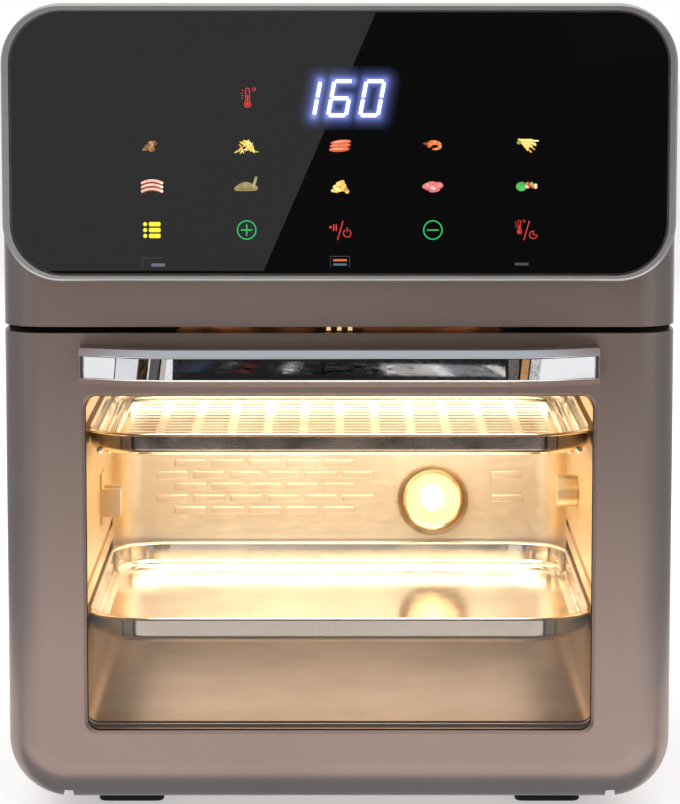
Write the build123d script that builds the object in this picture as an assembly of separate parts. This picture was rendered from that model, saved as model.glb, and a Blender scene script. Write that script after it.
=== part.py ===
from build123d import *
import math
import os

os.makedirs("parts", exist_ok=True)

# Countertop air fryer oven with a drop-down glass door, in millimetres.
# Seen from the front, X runs to the right, Y to the back and Z up. The feet stand on Z = 0.

# Outer body
body_width = 312.0
body_depth = 292.0
overall_height = 380.0
head_height = 148.0
seam_gap = 3.0
seam_recess = 1.2
foot_clearance = 6.5
low_corner = 29.0
top_corner = 27.0
edge_radius = 20.0
cabinet_wall = 1.2
head_wall = 2.0
hem_width = 10.0
handle_reach = 24.0
rear_reach = 8.0
running_gap = 0.3
slip_fit = 0.05
screw_r = 2.0
screw_head_r = 4.0
screw_head_t = 1.6
screw_clearance = 0.1
boss_r = 4.5

half_width = body_width / 2
door_face_y = handle_reach - (handle_reach + body_depth + rear_reach) / 2
back_y = door_face_y + body_depth
body_bottom = foot_clearance
head_bottom = overall_height - head_height
door_top = head_bottom - seam_gap

# Door
door_thickness = 26.0
door_wall = 3.0
door_gap = 2.0
window_side = 38.0
window_rise = 12.4
window_drop = 29.2
window_corner = 5.5
window_bevel = 1.4
gasket_t = 0.8
gasket_lip = 0.4
glass_overlap = 6.0
outer_glass_t = 4.0
inner_glass_t = 4.0
inner_plate_t = 1.8
inner_lip = 1.2
tube_wall = 1.2
tube_side = 3.0
sill_height = 8.0
door_screw_inset = 8.0
door_screw_low = 45.0
door_screw_high = 38.0
door_screw_length = 6.0

door_back_y = door_face_y + door_thickness
frame_y = door_back_y + door_gap
shell_front_y = door_back_y + door_gap / 2
window_half = half_width - window_side
window_top = door_top - window_drop
glass_front_y = door_face_y + door_wall + gasket_t
glass_back_y = glass_front_y + outer_glass_t
inner_plate_y = door_back_y - inner_plate_t

# Door hinge
hinge_inset = 12.0
hinge_side = 28.0
pin_r = 3.0
pin_half_length = 11.0
ear_t = 3.0
ear_r = 5.6
ear_bar_half = 4.4
ear_foot_t = 1.5
ear_foot_half = 9.0
pocket_clearance = 1.0
swing_clearance = 0.5
swing_r = door_thickness - hinge_inset + swing_clearance
hinge_y = door_face_y + hinge_inset
hinge_z = body_bottom + swing_r
hinge_x = half_width - hinge_side
sill_z = hinge_z + sill_height
window_bottom = sill_z + window_rise
tube_half = window_half + tube_side
tube_bottom = window_bottom - tube_side
tube_top = window_top + tube_side

# Handle, a bow across the top of the door
handle_rise = 15.2
handle_height = 16.8
handle_side = 36.4
handle_end_reach = 13.2
handle_knee_in = 28.1
handle_knee_r = 84.0
handle_bar_t = 10.0
handle_post = 19.0
handle_pocket_r = 9.0
handle_gap_end = 6.6
handle_bevel = 3.3
handle_screw_depth = 8.0
strip_height = 10.0
strip_t = 1.2
strip_proud = 0.3
strip_end = 0.9
handle_z = window_top + handle_rise
handle_half = half_width - handle_side
handle_knee_x = handle_half - handle_knee_in
handle_screw_x = handle_half - handle_post / 2

# Pieces in the seam between door and head
seam_inset = 5.0
tongue_half = 11.0
tongue_depth = 12.0
tongue_t = 0.6
tongue_rib_pitch = 5.0
tongue_rib_half = 1.0
bumper_side = 77.0
bumper_half = 5.0
bumper_depth = 8.0
magnet_half = 12.0
magnet_t = 7.0
bumper_x = half_width - bumper_side

# Front frame and cavity
frame_t = 1.2
liner_t = 0.8
cavity_side = 35.5
cavity_rise = 11.0
cavity_drop = 9.0
rear_room = 36.8
cavity_corner = 6.0
groove_depth = 4.5
groove_height = 5.0
bead_depth = 2.0
bead_rise = 13.0
bead_height = 4.0
liner_flange = 8.0
liner_flange_rise = 7.2
cavity_half = half_width - cavity_side
cavity_floor = sill_z + cavity_rise
cavity_top = door_top - cavity_drop
cavity_height = cavity_top - cavity_floor
cavity_y = frame_y + frame_t
cavity_back_y = back_y - rear_room
fan_y = (cavity_y + cavity_back_y) / 2

# Trays
tray_side_gap = 1.0
tray_body_gap = 1.5
tray_front_gap = 2.0
tray_back_gap = 4.0
tray_flange = 6.0
tray_t = 0.9
tray_corner = 34.0
tray_taper = 4.0
lower_rim_rise = 49.0
lower_tray_depth = 13.0
upper_rim_drop = 42.6
upper_tray_depth = 11.0
tray_floor_margin = 14.0
slot_columns = 12
slot_end_margin = 18.5
slot_band = 4.2
slot_width = 3.4
slot_pitch_y = 10.6
tray_half = cavity_half + groove_depth - tray_side_gap
lower_rim_z = cavity_floor + lower_rim_rise
upper_rim_z = cavity_top - upper_rim_drop
tray_length = cavity_back_y - cavity_y - tray_front_gap - tray_back_gap

# Door seal round the cavity mouth
seal_side_margin = 6.0
seal_low_margin = 1.5
seal_top_margin = 1.0
seal_width = 5.5
seal_top_width = 3.6
seal_corner = 10.0

# Safety switch behind the frame, and its button
switch_side = 14.0
switch_drop = 24.0
switch_half = 4.0
switch_half_height = 10.0
switch_depth = 20.0
switch_gap = 0.3
plunger_r = 1.5
plunger_in = 10.0
plunger_well = 14.0
tab_half = 1.5
tab_t = 0.8
tab_length = 6.0
tab_pitch = 7.0
switch_x = half_width - switch_side
switch_z = door_top - switch_drop

# Heating chamber over the cavity
chamber_r = 92.0
chamber_height = 41.0
chamber_t = 0.8
chamber_edge = 6.0
chamber_flange = 8.0
chamber_eye = 4.0
ceiling_hole_r = 84.0
guard_r = 90.0
guard_t = 0.8
guard_first_r = 22.0
guard_ring_pitch = 16.0
guard_slot_length = 12.0
guard_slot_width = 4.0
guard_slot_spacing = 15.0
heater_tube_r = 3.3
heater_outer_r = 75.0
heater_inner_r = 63.0
heater_drop = 21.8
heater_start = 20.0
heater_terminal_rise = 35.0
heater_bend_r = 10.0
liner_top = cavity_top + liner_t
chamber_top = liner_top + chamber_height
heater_z = chamber_top - heater_drop

# Fans and shaft
fan_r = 54.0
fan_blades = 8
fan_height = 20.0
fan_rise = 8.2
blade_lean = 12.0
shaft_r = 4.0
shaft_end = 3.0
hub_r = 9.0
blade_t = 1.2
blade_overhang = 9.0
blade_edge_gap = 1.0
wheel_plate_t = 1.0
cooling_fan_r = 38.0
cooling_fan_height = 12.0
cooling_fan_blades = 7
cooling_lean = 35.0
fan_z = liner_top + fan_rise

# Motor over the chamber
mount_rise = 12.0
mount_t = 1.2
mount_half = 42.0
mount_corner = 8.0
mount_eye = 5.0
mount_post_inset = 8.0
mount_post_r = 4.0
pillar_rise = 9.8
pillar_r = 3.0
pillar_offset = 24.0
stator_half = 30.0
stator_height = 16.0
stator_corner = 4.0
rotor_r = 15.0
air_gap = 0.5
strap_half = 12.0
strap_t = 1.5
bearing_r = 6.5
bearing_height = 7.0
coil_half = 16.0
coil_depth = 14.0
coil_over = 5.0
coil_edge = 4.0
cutout_x = -62.0
cutout_before_fan = 40.0
cutout_r = 8.0
cutout_t = 6.0
mount_z = chamber_top + mount_rise
stator_z = mount_z + mount_t + pillar_rise
stator_top = stator_z + stator_height
cooling_fan_z = stator_top + strap_t + bearing_height + shaft_end

# Deck, duct and head shells
deck_t = 1.2
deck_hole_gap = 1.5
duct_half = 30.0
duct_height = 24.0
duct_t = 1.0
grille_half = 28.0
grille_half_height = 9.0
grille_flange = 3.0
grille_t = 1.5
grille_columns = 6
grille_pitch = 9.0
grille_slot_width = 5.0
grille_slot_length = 14.0
head_vent_side = 54.0
head_vent_rise = 62.0
head_vent_height = 56.0
deck_top = door_top + deck_t
grille_z = deck_top + duct_height / 2
head_vent_half = half_width - head_vent_side
head_vent_z0 = head_bottom + head_vent_rise

# Control panel
glass_t = 3.0
rim_width = 2.6
rim_side = 3.4
bezel_side = 1.4
rim_edge = 1.2
panel_gap = 1.0
panel_sink = 0.3
bezel_proud = 4.0
bezel_rise = 21.4
rim_floor = 3.0
panel_ledge = 12.0
panel_hole_corner = 4.0
fascia_wall = 2.5
head_cover_drop = 6.5
light_guide_t = 10.0
guide_corner = 2.0
board_t = 1.6
board_margin = 5.0
board_boss_r = 3.5
board_boss_inset = 8.7
board_boss_rise = 23.0
display_x = 3.5
display_drop = 38.9
display_half_width = 26.0
display_half_height = 13.0
display_corner = 1.0
icon_column = 42.8
icon_row_drops = (60.8, 79.5, 99.3)
icon_cell = 14.0
bezel_y = door_face_y - bezel_proud
bezel_bottom = head_bottom + bezel_rise
bezel_half = half_width - bezel_side
glass_half = bezel_half - rim_side - panel_gap
glass_low = bezel_bottom + rim_width + panel_gap
glass_high = overall_height - rim_width - panel_gap
glass_y = bezel_y + panel_sink
guide_y = glass_y + glass_t
board_y = guide_y + light_guide_t
display_z = glass_high - display_drop

# Ribbon and power board at the head's left side
ribbon_side = 68.0
ribbon_drop = 76.4
ribbon_t = 0.8
ribbon_half = 8.0
ribbon_bend = 9.0
ribbon_lead = 18.0
ribbon_lift = 14.0
plug_half = 12.0
plug_t = 6.0
plug_half_height = 4.0
socket_place = 30.0
socket_t = 5.5
socket_lift = 16.0
socket_over = 1.0
board_side_gap = 14.0
board_standoff = 4.8
board_post_r = 3.0
board_post_inset = 6.0
power_before_frame = 38.0
power_length = 128.0
power_rise = 13.8
power_height = 96.0
bracket_foot = 24.0
ribbon_x = -half_width + ribbon_side
ribbon_z = glass_high - ribbon_drop
power_x = -half_width + board_side_gap
power_y0 = frame_y + power_before_frame
power_z0 = deck_top + power_rise
board_face_x = power_x + board_t

# Board parts: place along the board, length, place up the board, height, and lift off it
board_boxes = {
    "transformer": (84, 32, 14, 30, 22),
    "relay": (50, 28, 14, 20, 16),
    "filter": (84, 34, 58, 26, 12),
    "heat sink": (40, 4, 44, 40, 20),
}
# Capacitors: place along the board, place up the board, radius, and lift off it
board_cans = {
    "large": (62, 56, 7, 20),
    "small": (24, 22, 5, 14),
}

# Vent slots, in fields of level slots
vent_length = 28.0
vent_width = 3.6
vent_gap = 8.0
vent_pitch = 9.0

# Rear and lower pieces
cover_side = 34.0
cover_rise = 29.5
cover_drop = 23.0
cover_t = 1.5
cover_corner = 10.0
cover_lap = 8.0
cover_vent_margin = 20.0
rear_spacer_r = 7.0
rear_spacer_edge = 1.5
rear_spacer_inset = 24.4
base_side = 84.0
base_after_frame = 48.0
base_before_back = 66.0
base_t = 1.0
base_lap = 8.0
base_vent_margin = 12.0
foot_half = 15.5
foot_length = 24.0
foot_corner = 4.0
foot_side = 56.5
foot_inset_front = 17.0
foot_inset_rear = 38.0
foot_edge = 1.2
gland_side = 58.0
gland_rise = 20.0
gland_r = 8.5
gland_flange_r = 11.5
gland_flange_t = 2.5
gland_nose_r = 6.5
gland_nose_gap = 0.5
gland_depth = 8.0
gland_bore_r = 3.6
terminal_rise = 14.0
terminal_half = 14.0
terminal_depth = 14.0
terminal_height = 12.0
terminal_count = 3
terminal_pitch = 9.0
terminal_well = 6.0
cover_half = half_width - cover_side
cover_bottom = body_bottom + cover_rise
cover_height = door_top - cover_drop - cover_bottom
cover_middle_z = cover_bottom + cover_height / 2
gland_x = half_width - gland_side
gland_z = cover_bottom + gland_rise
base_half = half_width - base_side
base_y0 = frame_y + base_after_frame
base_length = back_y - base_before_back - base_y0
foot_x = half_width - foot_side

# Lamp and sensor in the cavity's back wall
lamp_side = 70.5
lamp_gap = 3.0
lamp_hole_r = 15.0
lamp_wall = 2.0
lamp_flange = 8.0
lamp_flange_t = 1.5
lamp_depth = 16.0
lamp_floor_t = 3.0
lamp_tail_r = 11.0
lamp_tail = 12.0
dome_r = 19.0
dome_depth = 13.0
dome_t = 2.0
dome_edge = 9.75
bulb_r = 6.0
bulb_gap = 3.0
bulb_pin = 7.0
sensor_side = 70.5
sensor_drop = 15.0
sensor_r = 2.2
sensor_reach = 18.0
sensor_tail = 14.0
sensor_flange_r = 6.0
sensor_flange_t = 3.0
lamp_x = cavity_half - lamp_side
sensor_x = -cavity_half + sensor_side
lamp_z = lower_rim_z + lamp_gap + dome_r
sensor_z = cavity_top - sensor_drop
lamp_back_y = cavity_back_y + liner_t

# Rotisserie drive, right, and rest, left
spit_sink = 1.2
spit_after_fan = 7.8
spit_shaft_r = 3.5
spit_shaft_in = 11.0
spit_socket_r = 8.0
spit_socket_length = 10.0
spit_square = 6.0
spit_well = 8.0
spit_motor_r = 24.0
spit_motor_t = 16.0
spit_motor_edge = 2.0
spit_eye = 1.0
spit_lug_y = 28.0
spit_lug_half = 5.0
spit_lug_t = 1.2
rest_half = 12.0
rest_below = 16.0
rest_above = 10.0
rest_t = 1.2
rest_shelf_half = 9.0
rest_shelf_reach = 10.0
rest_shelf_above = 2.0
rest_notch_r = 3.2
spit_z = (lower_rim_z + upper_rim_z) / 2 - spit_sink
spit_y = fan_y + spit_after_fan
spit_wall_x = cavity_half + liner_t
spit_motor_x = spit_wall_x + groove_depth + running_gap

over = 1.0
tiny = 0.001


def block(x0, x1, y0, y1, z0, z1):
    """A box between two corners."""
    middle = Pos((x0 + x1) / 2, (y0 + y1) / 2, (z0 + z1) / 2)
    return middle * Box(x1 - x0, y1 - y0, z1 - z0)


def stand_up(sketch, x, z, y0, y1):
    """Thicken a front-view sketch from y0 back to y1."""
    return Pos(x, y1, z) * Rot(90, 0, 0) * extrude(sketch, y1 - y0)


def lay_flat(sketch, x, y, z0, z1):
    """Thicken a plan sketch from z0 up to z1."""
    return Pos(x, y, z0) * extrude(sketch, z1 - z0)


def plate(half, z0, z1, y0, y1, radius, x=0.0):
    """An upright plate with four rounded corners."""
    outline = RectangleRounded(2 * half, z1 - z0, radius)
    return stand_up(outline, x, (z0 + z1) / 2, y0, y1)


def tub_plate(half, z0, z1, y0, y1, radius):
    """An upright plate with only its lower corners rounded."""
    tall = plate(half, z0, z1 + 2 * radius, y0, y1, radius)
    return tall - block(-half - over, half + over, y0 - over, y1 + over, z1, z1 + 3 * radius)


def upright(x, y, z0, z1, radius):
    """A vertical round bar."""
    return Pos(x, y, (z0 + z1) / 2) * Cylinder(radius, z1 - z0)


def along_y(x, z, y0, y1, radius):
    """A round bar that runs from front to back."""
    return Pos(x, (y0 + y1) / 2, z) * Rot(90, 0, 0) * Cylinder(radius, y1 - y0)


def along_x(y, z, x0, x1, radius):
    """A round bar that runs from left to right."""
    return Pos((x0 + x1) / 2, y, z) * Rot(0, 90, 0) * Cylinder(radius, x1 - x0)


def housing(half, z0, z1, y_open, y_shut, corner, edge, high=False):
    """A box with two rounded corners, low or high, and a rounded closed end."""
    solid = block(-half, half, min(y_open, y_shut), max(y_open, y_shut), z0, z1)
    round_z = z1 if high else z0
    plain_z = z0 if high else z1
    long_edges = [e for e in solid.edges().filter_by(Axis.Y) if abs(e.center().Z - round_z) < tiny]
    solid = fillet(long_edges, corner)
    end_edges = [e for e in solid.edges()
                 if abs(e.center().Y - y_shut) < tiny and abs(e.center().Z - plain_z) > tiny]
    return fillet(end_edges, edge)


def edges_at_y(solid, y):
    """Edges that lie in the upright plane at y."""
    return [e for e in solid.edges() if all(abs(v.Y - y) < tiny for v in e.vertices()) and
            abs(e.center().Y - y) < tiny]


def vent_field(width, height):
    """As many level slots as a field holds, centred on it."""
    columns = max(1, int((width + vent_gap) // (vent_length + vent_gap)))
    rows = max(1, int(height // vent_pitch))
    grid = GridLocations(vent_length + vent_gap, vent_pitch, columns, rows)
    return Sketch() + grid * SlotOverall(vent_length, vent_width)


def save(name, shape):
    """Write one node, with its solids apart from each other."""
    solids = shape.solids()
    whole = solids[0] if len(solids) == 1 else Compound(children=list(solids))
    export_step(whole, os.path.join("parts", name + ".step"))


# Cabinet

def cabinet_shell():
    """Painted wrap: two sides, back and rounded bottom in one skin, with a hem at the top."""
    outer = housing(half_width, body_bottom, door_top, shell_front_y, back_y, low_corner, edge_radius)
    inner = housing(half_width - cabinet_wall, body_bottom + cabinet_wall, door_top + over,
                    shell_front_y - over, back_y - cabinet_wall,
                    low_corner - cabinet_wall, edge_radius - cabinet_wall)
    hem_reach = half_width - cabinet_wall - hem_width
    hem = inner & block(-half_width, half_width, cavity_y, back_y, door_top - cabinet_wall, door_top)
    hem -= block(-hem_reach, hem_reach, frame_y, back_y - cabinet_wall - hem_width,
                 body_bottom, door_top + over)
    shell = outer - inner + hem
    shell -= plate(cover_half - cover_lap, cover_bottom + cover_lap,
                   cover_bottom + cover_height - cover_lap, back_y - cabinet_wall - over, back_y + over,
                   cover_corner)
    shell -= block(-base_half, base_half, base_y0, base_y0 + base_length,
                   body_bottom - over, body_bottom + cabinet_wall + over)
    for x, y in foot_places():
        shell -= upright(x, y, body_bottom - over, body_bottom + cabinet_wall + over,
                         screw_r + screw_clearance)
    for x, z in cover_screw_places():
        shell -= along_y(x, z, back_y - cabinet_wall - over, back_y + over, screw_r + screw_clearance)
    return shell


def foot_places():
    """Plan positions of the four feet."""
    front = shell_front_y + foot_inset_front
    rear = back_y - foot_inset_rear
    return [(side * foot_x, y) for side in (-1, 1) for y in (front, rear)]


def feet():
    """Four moulded feet, each with a sunk screw hole."""
    pads = []
    outline = RectangleRounded(2 * foot_half, foot_length, foot_corner)
    for x, y in foot_places():
        pad = lay_flat(outline, x, y, 0, body_bottom)
        pad = fillet(pad.faces().sort_by(Axis.Z)[0].edges(), foot_edge)
        pad -= upright(x, y, -over, body_bottom / 2, screw_head_r + screw_clearance)
        pads.append(pad - upright(x, y, 0, body_bottom + over, screw_r + screw_clearance))
    return Compound(children=pads)


def foot_screws():
    """Pan-head screws up through the feet into the cabinet."""
    screws = []
    for x, y in foot_places():
        head = upright(x, y, body_bottom / 2 - screw_head_t, body_bottom / 2, screw_head_r)
        screws.append(head + upright(x, y, body_bottom / 2, body_bottom + 3 * cabinet_wall, screw_r))
    return screws


def base_plate():
    """Vented plate that closes the bottom from inside."""
    z0 = body_bottom + cabinet_wall
    outline = RectangleRounded(2 * (base_half + base_lap), base_length + 2 * base_lap, cover_corner)
    vents = vent_field(2 * (base_half - base_vent_margin), base_length - 2 * base_vent_margin)
    return lay_flat(outline - vents, 0, base_y0 + base_length / 2, z0, z0 + base_t)


def cover_screw_places():
    """Screw positions round the rear cover."""
    x = cover_half - cover_lap / 2
    low = cover_bottom + cover_lap / 2
    high = cover_bottom + cover_height - cover_lap / 2
    return [(side * x, z) for side in (-1, 1) for z in (low, (low + high) / 2, high)]


def rear_cover():
    """Vented cover screwed on the back of the cabinet, with the hole for the cord gland."""
    outline = RectangleRounded(2 * cover_half, cover_height, cover_corner)
    field_height = cover_height / 2 - 2 * cover_vent_margin + vent_pitch
    left = -cover_half + cover_vent_margin
    right = gland_x - gland_flange_r - cover_vent_margin
    high = Pos(0, cover_height / 4) * vent_field(2 * (cover_half - cover_vent_margin), field_height)
    low = Pos((left + right) / 2, -cover_height / 4) * vent_field(right - left, field_height)
    panel = stand_up(outline - high - low, 0, cover_middle_z, back_y, back_y + cover_t)
    panel -= along_y(gland_x, gland_z, back_y - over, back_y + cover_t + over, gland_r)
    for x, z in cover_screw_places():
        panel -= along_y(x, z, back_y - over, back_y + cover_t + over, screw_r + screw_clearance)
    return panel


def chassis_screws():
    """Pan-head screws of the rear cover and the feet."""
    screws = foot_screws()
    y = back_y + cover_t
    for x, z in cover_screw_places():
        shank = along_y(x, z, back_y - 3 * cabinet_wall, y, screw_r)
        screws.append(shank + along_y(x, z, y, y + screw_head_t, screw_head_r))
    return Compound(children=screws)


def rear_spacers():
    """Two rubber stand-offs that keep the back clear of a wall."""
    y0 = back_y + cover_t
    pads = []
    for side in (-1, 1):
        pad = along_y(side * (cover_half - rear_spacer_inset), cover_middle_z, y0, back_y + rear_reach,
                      rear_spacer_r)
        pads.append(fillet(edges_at_y(pad, back_y + rear_reach), rear_spacer_edge))
    return Compound(children=pads)


def cord_gland():
    """Strain relief bushing in the rear cover, with an empty bore for the mains cord."""
    y0 = back_y - gland_depth
    y1 = back_y + cover_t
    tip = back_y + rear_reach - gland_nose_gap
    gland = along_y(gland_x, gland_z, y0, y1, gland_r)
    gland += along_y(gland_x, gland_z, y1, y1 + gland_flange_t, gland_flange_r)
    gland += along_y(gland_x, gland_z, y1 + gland_flange_t, tip, gland_nose_r)
    return gland - along_y(gland_x, gland_z, y0 - over, tip + over, gland_bore_r)


def terminal_block():
    """Screw terminals for the mains leads, inside the rear cover."""
    z0 = gland_z + terminal_rise
    body = block(gland_x - terminal_half, gland_x + terminal_half, back_y - terminal_depth, back_y,
                 z0, z0 + terminal_height)
    for index in range(terminal_count):
        x = gland_x + (index - (terminal_count - 1) / 2) * terminal_pitch
        body -= upright(x, back_y - terminal_depth / 2, z0 + terminal_well, z0 + terminal_height + over,
                        screw_r)
    return body


def front_frame():
    """Pressed plate round the cavity mouth, with slots for the hinge ears and the switch hole."""
    sheet = tub_plate(half_width - cabinet_wall, body_bottom + cabinet_wall, door_top,
                      frame_y, cavity_y, low_corner - cabinet_wall)
    sheet -= stand_up(cavity_outline(0), 0, 0, frame_y - over, cavity_y + over)
    slot_half = ear_t / 2 + running_gap
    slot_half_height = ear_bar_half + running_gap
    for side in (-1, 1):
        sheet -= block(side * hinge_x - slot_half, side * hinge_x + slot_half, frame_y - over,
                       cavity_y + over, hinge_z - slot_half_height, hinge_z + slot_half_height)
    return sheet - along_y(switch_x, switch_z, frame_y - over, cavity_y + over, plunger_r + running_gap)


def cavity_outline(grow):
    """Cavity section seen from the front: a box with tray grooves and beads in its sides."""
    middle = cavity_floor + cavity_height / 2
    outline = Pos(0, middle) * RectangleRounded(2 * (cavity_half + grow), cavity_height + 2 * grow,
                                                cavity_corner)
    for rim_z in (lower_rim_z, upper_rim_z):
        groove_mid = rim_z - tray_t - running_gap + groove_height / 2
        outline += Pos(0, groove_mid) * Rectangle(2 * (cavity_half + groove_depth + grow),
                                                  groove_height + 2 * grow)
        outline += Pos(0, rim_z + bead_rise) * Rectangle(2 * (cavity_half + bead_depth + grow),
                                                         bead_height + 2 * grow)
    return outline


def cavity_liner():
    """Bright steel oven cavity, open at the front, with a flange welded behind the frame."""
    outer = stand_up(cavity_outline(liner_t), 0, 0, cavity_y, cavity_back_y + liner_t)
    middle = cavity_floor + cavity_height / 2
    flange = Pos(0, middle) * RectangleRounded(2 * (cavity_half + groove_depth + liner_flange),
                                               cavity_height + 2 * liner_flange_rise, cavity_corner)
    outer += stand_up(flange, 0, 0, cavity_y, cavity_y + liner_t)
    liner = outer - stand_up(cavity_outline(0), 0, 0, cavity_y - over, cavity_back_y)
    liner -= upright(0, fan_y, cavity_top - over, liner_top + over, ceiling_hole_r)
    wall = (cavity_back_y - over, lamp_back_y + over)
    liner -= along_y(lamp_x, lamp_z, *wall, lamp_hole_r)
    liner -= along_y(sensor_x, sensor_z, *wall, sensor_r + slip_fit)
    return liner - along_x(spit_y, spit_z, cavity_half - over, cavity_half + liner_t + over,
                           spit_shaft_r + spit_eye)


def door_seal():
    """Silicone ring on the frame, just clear of the closed door."""
    front = door_back_y + running_gap
    half = cavity_half + seal_side_margin
    z0 = cavity_floor - seal_low_margin
    z1 = cavity_top + seal_top_margin
    ring = plate(half + seal_width, z0 - seal_width, z1 + seal_top_width, front, frame_y, seal_corner)
    return ring - plate(half, z0, z1, front - over, frame_y + over, cavity_corner)


# Trays

def tray_pan(rim_z, depth):
    """Pressed pan with sloping walls and a flat rim that runs in the cavity grooves."""
    y_mid = cavity_y + tray_front_gap + tray_length / 2
    body_half = cavity_half - tray_body_gap
    mouth_length = tray_length - 2 * tray_flange
    mouth_corner = tray_corner - tray_flange
    mouth = RectangleRounded(2 * body_half, mouth_length, mouth_corner)
    mouth_in = RectangleRounded(2 * (body_half - tray_t), mouth_length - 2 * tray_t,
                                mouth_corner - tray_t)
    rim = RectangleRounded(2 * tray_half, tray_length, tray_corner)
    pan = Pos(0, y_mid, rim_z) * extrude(mouth, -depth, taper=tray_taper)
    pan += lay_flat(rim, 0, y_mid, rim_z - tray_t, rim_z)
    return pan - Pos(0, y_mid, rim_z) * extrude(mouth_in, -(depth - tray_t), taper=tray_taper)


def lower_tray():
    """Plain drip tray."""
    return tray_pan(lower_rim_z, lower_tray_depth)


def upper_tray():
    """Tray with columns of cross slots in its floor."""
    column = 2 * (cavity_half - tray_floor_margin) / slot_columns
    slot_rows = int((tray_length - 2 * slot_end_margin) / slot_pitch_y)
    holes = GridLocations(column, slot_pitch_y, slot_columns, slot_rows) * Rectangle(column - slot_band,
                                                                                   slot_width)
    y_mid = cavity_y + tray_front_gap + tray_length / 2
    floor = upper_rim_z - upper_tray_depth
    punch = lay_flat(Sketch() + holes, 0, y_mid, floor - over, floor + tray_t + over)
    return tray_pan(upper_rim_z, upper_tray_depth) - punch


# Door

def door_frame():
    """Moulded outer frame of the door, hollow behind, with the window and hinge pockets."""
    blank = housing(half_width, body_bottom, door_top, door_back_y, door_face_y, low_corner, edge_radius)
    outer = blank
    heel = block(-half_width - over, half_width + over, hinge_y, door_back_y + over,
                 body_bottom - over, hinge_z)
    heel -= along_x(hinge_y, hinge_z, -half_width - 2 * over, half_width + 2 * over, swing_r)
    outer -= heel
    inside = door_face_y + door_wall
    outer -= housing(half_width - door_wall, sill_z, door_top - door_wall, door_back_y + over,
                     inside, low_corner - door_wall, edge_radius - door_wall)
    for x, z in door_screw_places():
        outer += along_y(x, z, inside - over, inner_plate_y, boss_r) & blank
        outer -= along_y(x, z, inner_plate_y - door_screw_length - over, inner_plate_y + over, screw_r)
    outer -= plate(window_half + glass_overlap, window_bottom - glass_overlap, window_top + glass_overlap,
                   inside, door_back_y + over, window_corner)
    frame = outer - plate(window_half, window_bottom, window_top, door_face_y - over, inside + over,
                          window_corner)
    rim = [e for e in edges_at_y(frame, door_face_y)
           if abs(e.center().X) < window_half + over and
           window_bottom - over < e.center().Z < window_top + over]
    frame = chamfer(rim, window_bevel)
    for side in (-1, 1):
        x = side * hinge_x
        wide = ear_t / 2 + pocket_clearance
        eye = ear_r + pocket_clearance
        frame -= along_x(hinge_y, hinge_z, x - wide, x + wide, eye)
        frame -= block(x - wide, x + wide, hinge_y - ear_bar_half - pocket_clearance, door_back_y + over,
                       body_bottom - over, hinge_z + ear_bar_half + pocket_clearance)
        frame -= along_x(hinge_y, hinge_z, x - pin_half_length, x + pin_half_length, pin_r)
        frame -= along_y(side * handle_screw_x, handle_z, door_face_y - over, inside + over,
                         screw_r + screw_clearance)
    return frame


def window_gasket():
    """Black rubber ring between the door skin and the outer pane."""
    y0 = door_face_y + door_wall
    ring = plate(window_half + glass_overlap, window_bottom - glass_overlap, window_top + glass_overlap,
                 y0, glass_front_y, window_corner)
    return ring - plate(window_half - gasket_lip, window_bottom + gasket_lip, window_top - gasket_lip,
                        y0 - over, glass_front_y + over, window_corner - gasket_lip)


def door_outer_glass():
    """Outer pane behind the door skin."""
    return plate(window_half + glass_overlap, window_bottom - glass_overlap, window_top + glass_overlap,
                 glass_front_y, glass_back_y, window_corner)


def door_inner_frame():
    """Back plate of the door with the square tube that joins the two panes."""
    sheet = tub_plate(half_width - door_wall - slip_fit, sill_z + slip_fit, door_top - door_wall - slip_fit,
                      inner_plate_y, door_back_y, low_corner - door_wall)
    tube = plate(tube_half + tube_wall, tube_bottom - tube_wall, tube_top + tube_wall,
                 glass_back_y, inner_plate_y, window_corner + tube_wall)
    tube -= plate(tube_half, tube_bottom, tube_top, glass_back_y - over, inner_plate_y, window_corner)
    mouth = plate(tube_half - inner_lip, tube_bottom + inner_lip, tube_top - inner_lip,
                  inner_plate_y - over, door_back_y + over, window_corner)
    frame = sheet + tube - mouth
    for x, z in door_screw_places():
        frame -= along_y(x, z, inner_plate_y - over, door_back_y + over, screw_r + screw_clearance)
    return frame


def door_screw_places():
    """Screws that hold the back plate to the door, all outside the seal."""
    x = half_width - door_wall - door_screw_inset
    low = sill_z + door_screw_low
    high = door_top - door_screw_high
    return [(side * x, z) for side in (-1, 1) for z in (low, (low + high) / 2, high)]


def door_screws():
    """Flush screws in the door's back plate, and the handle's screws inside the door skin."""
    screws = [along_y(x, z, inner_plate_y - door_screw_length, door_back_y, screw_r)
              for x, z in door_screw_places()]
    inside = door_face_y + door_wall
    for side in (-1, 1):
        x = side * handle_screw_x
        shank = along_y(x, handle_z, door_face_y - handle_screw_depth, inside, screw_r)
        screws.append(shank + along_y(x, handle_z, inside, inside + screw_head_t, screw_head_r))
    return Compound(children=screws)


def door_inner_glass():
    """Inner pane, seated in the tube against the back plate's lip."""
    return plate(tube_half - slip_fit, tube_bottom + slip_fit, tube_top - slip_fit,
                 inner_plate_y - inner_glass_t, inner_plate_y, window_corner - slip_fit)


def bow(reach_cut, half, end_reach, knee_x, knee_r):
    """Plan area between the door face and a bow that stands out from it."""
    face = door_face_y
    reach = handle_reach - reach_cut
    corners = [(-half, face), (-half, face - end_reach), (-knee_x, face - reach),
               (knee_x, face - reach), (half, face - end_reach), (half, face)]
    area = make_face(Polyline(*corners, close=True))
    knees = [v for v in area.vertices() if abs(v.Y - (face - reach)) < tiny]
    return fillet(knees, knee_r)


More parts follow.
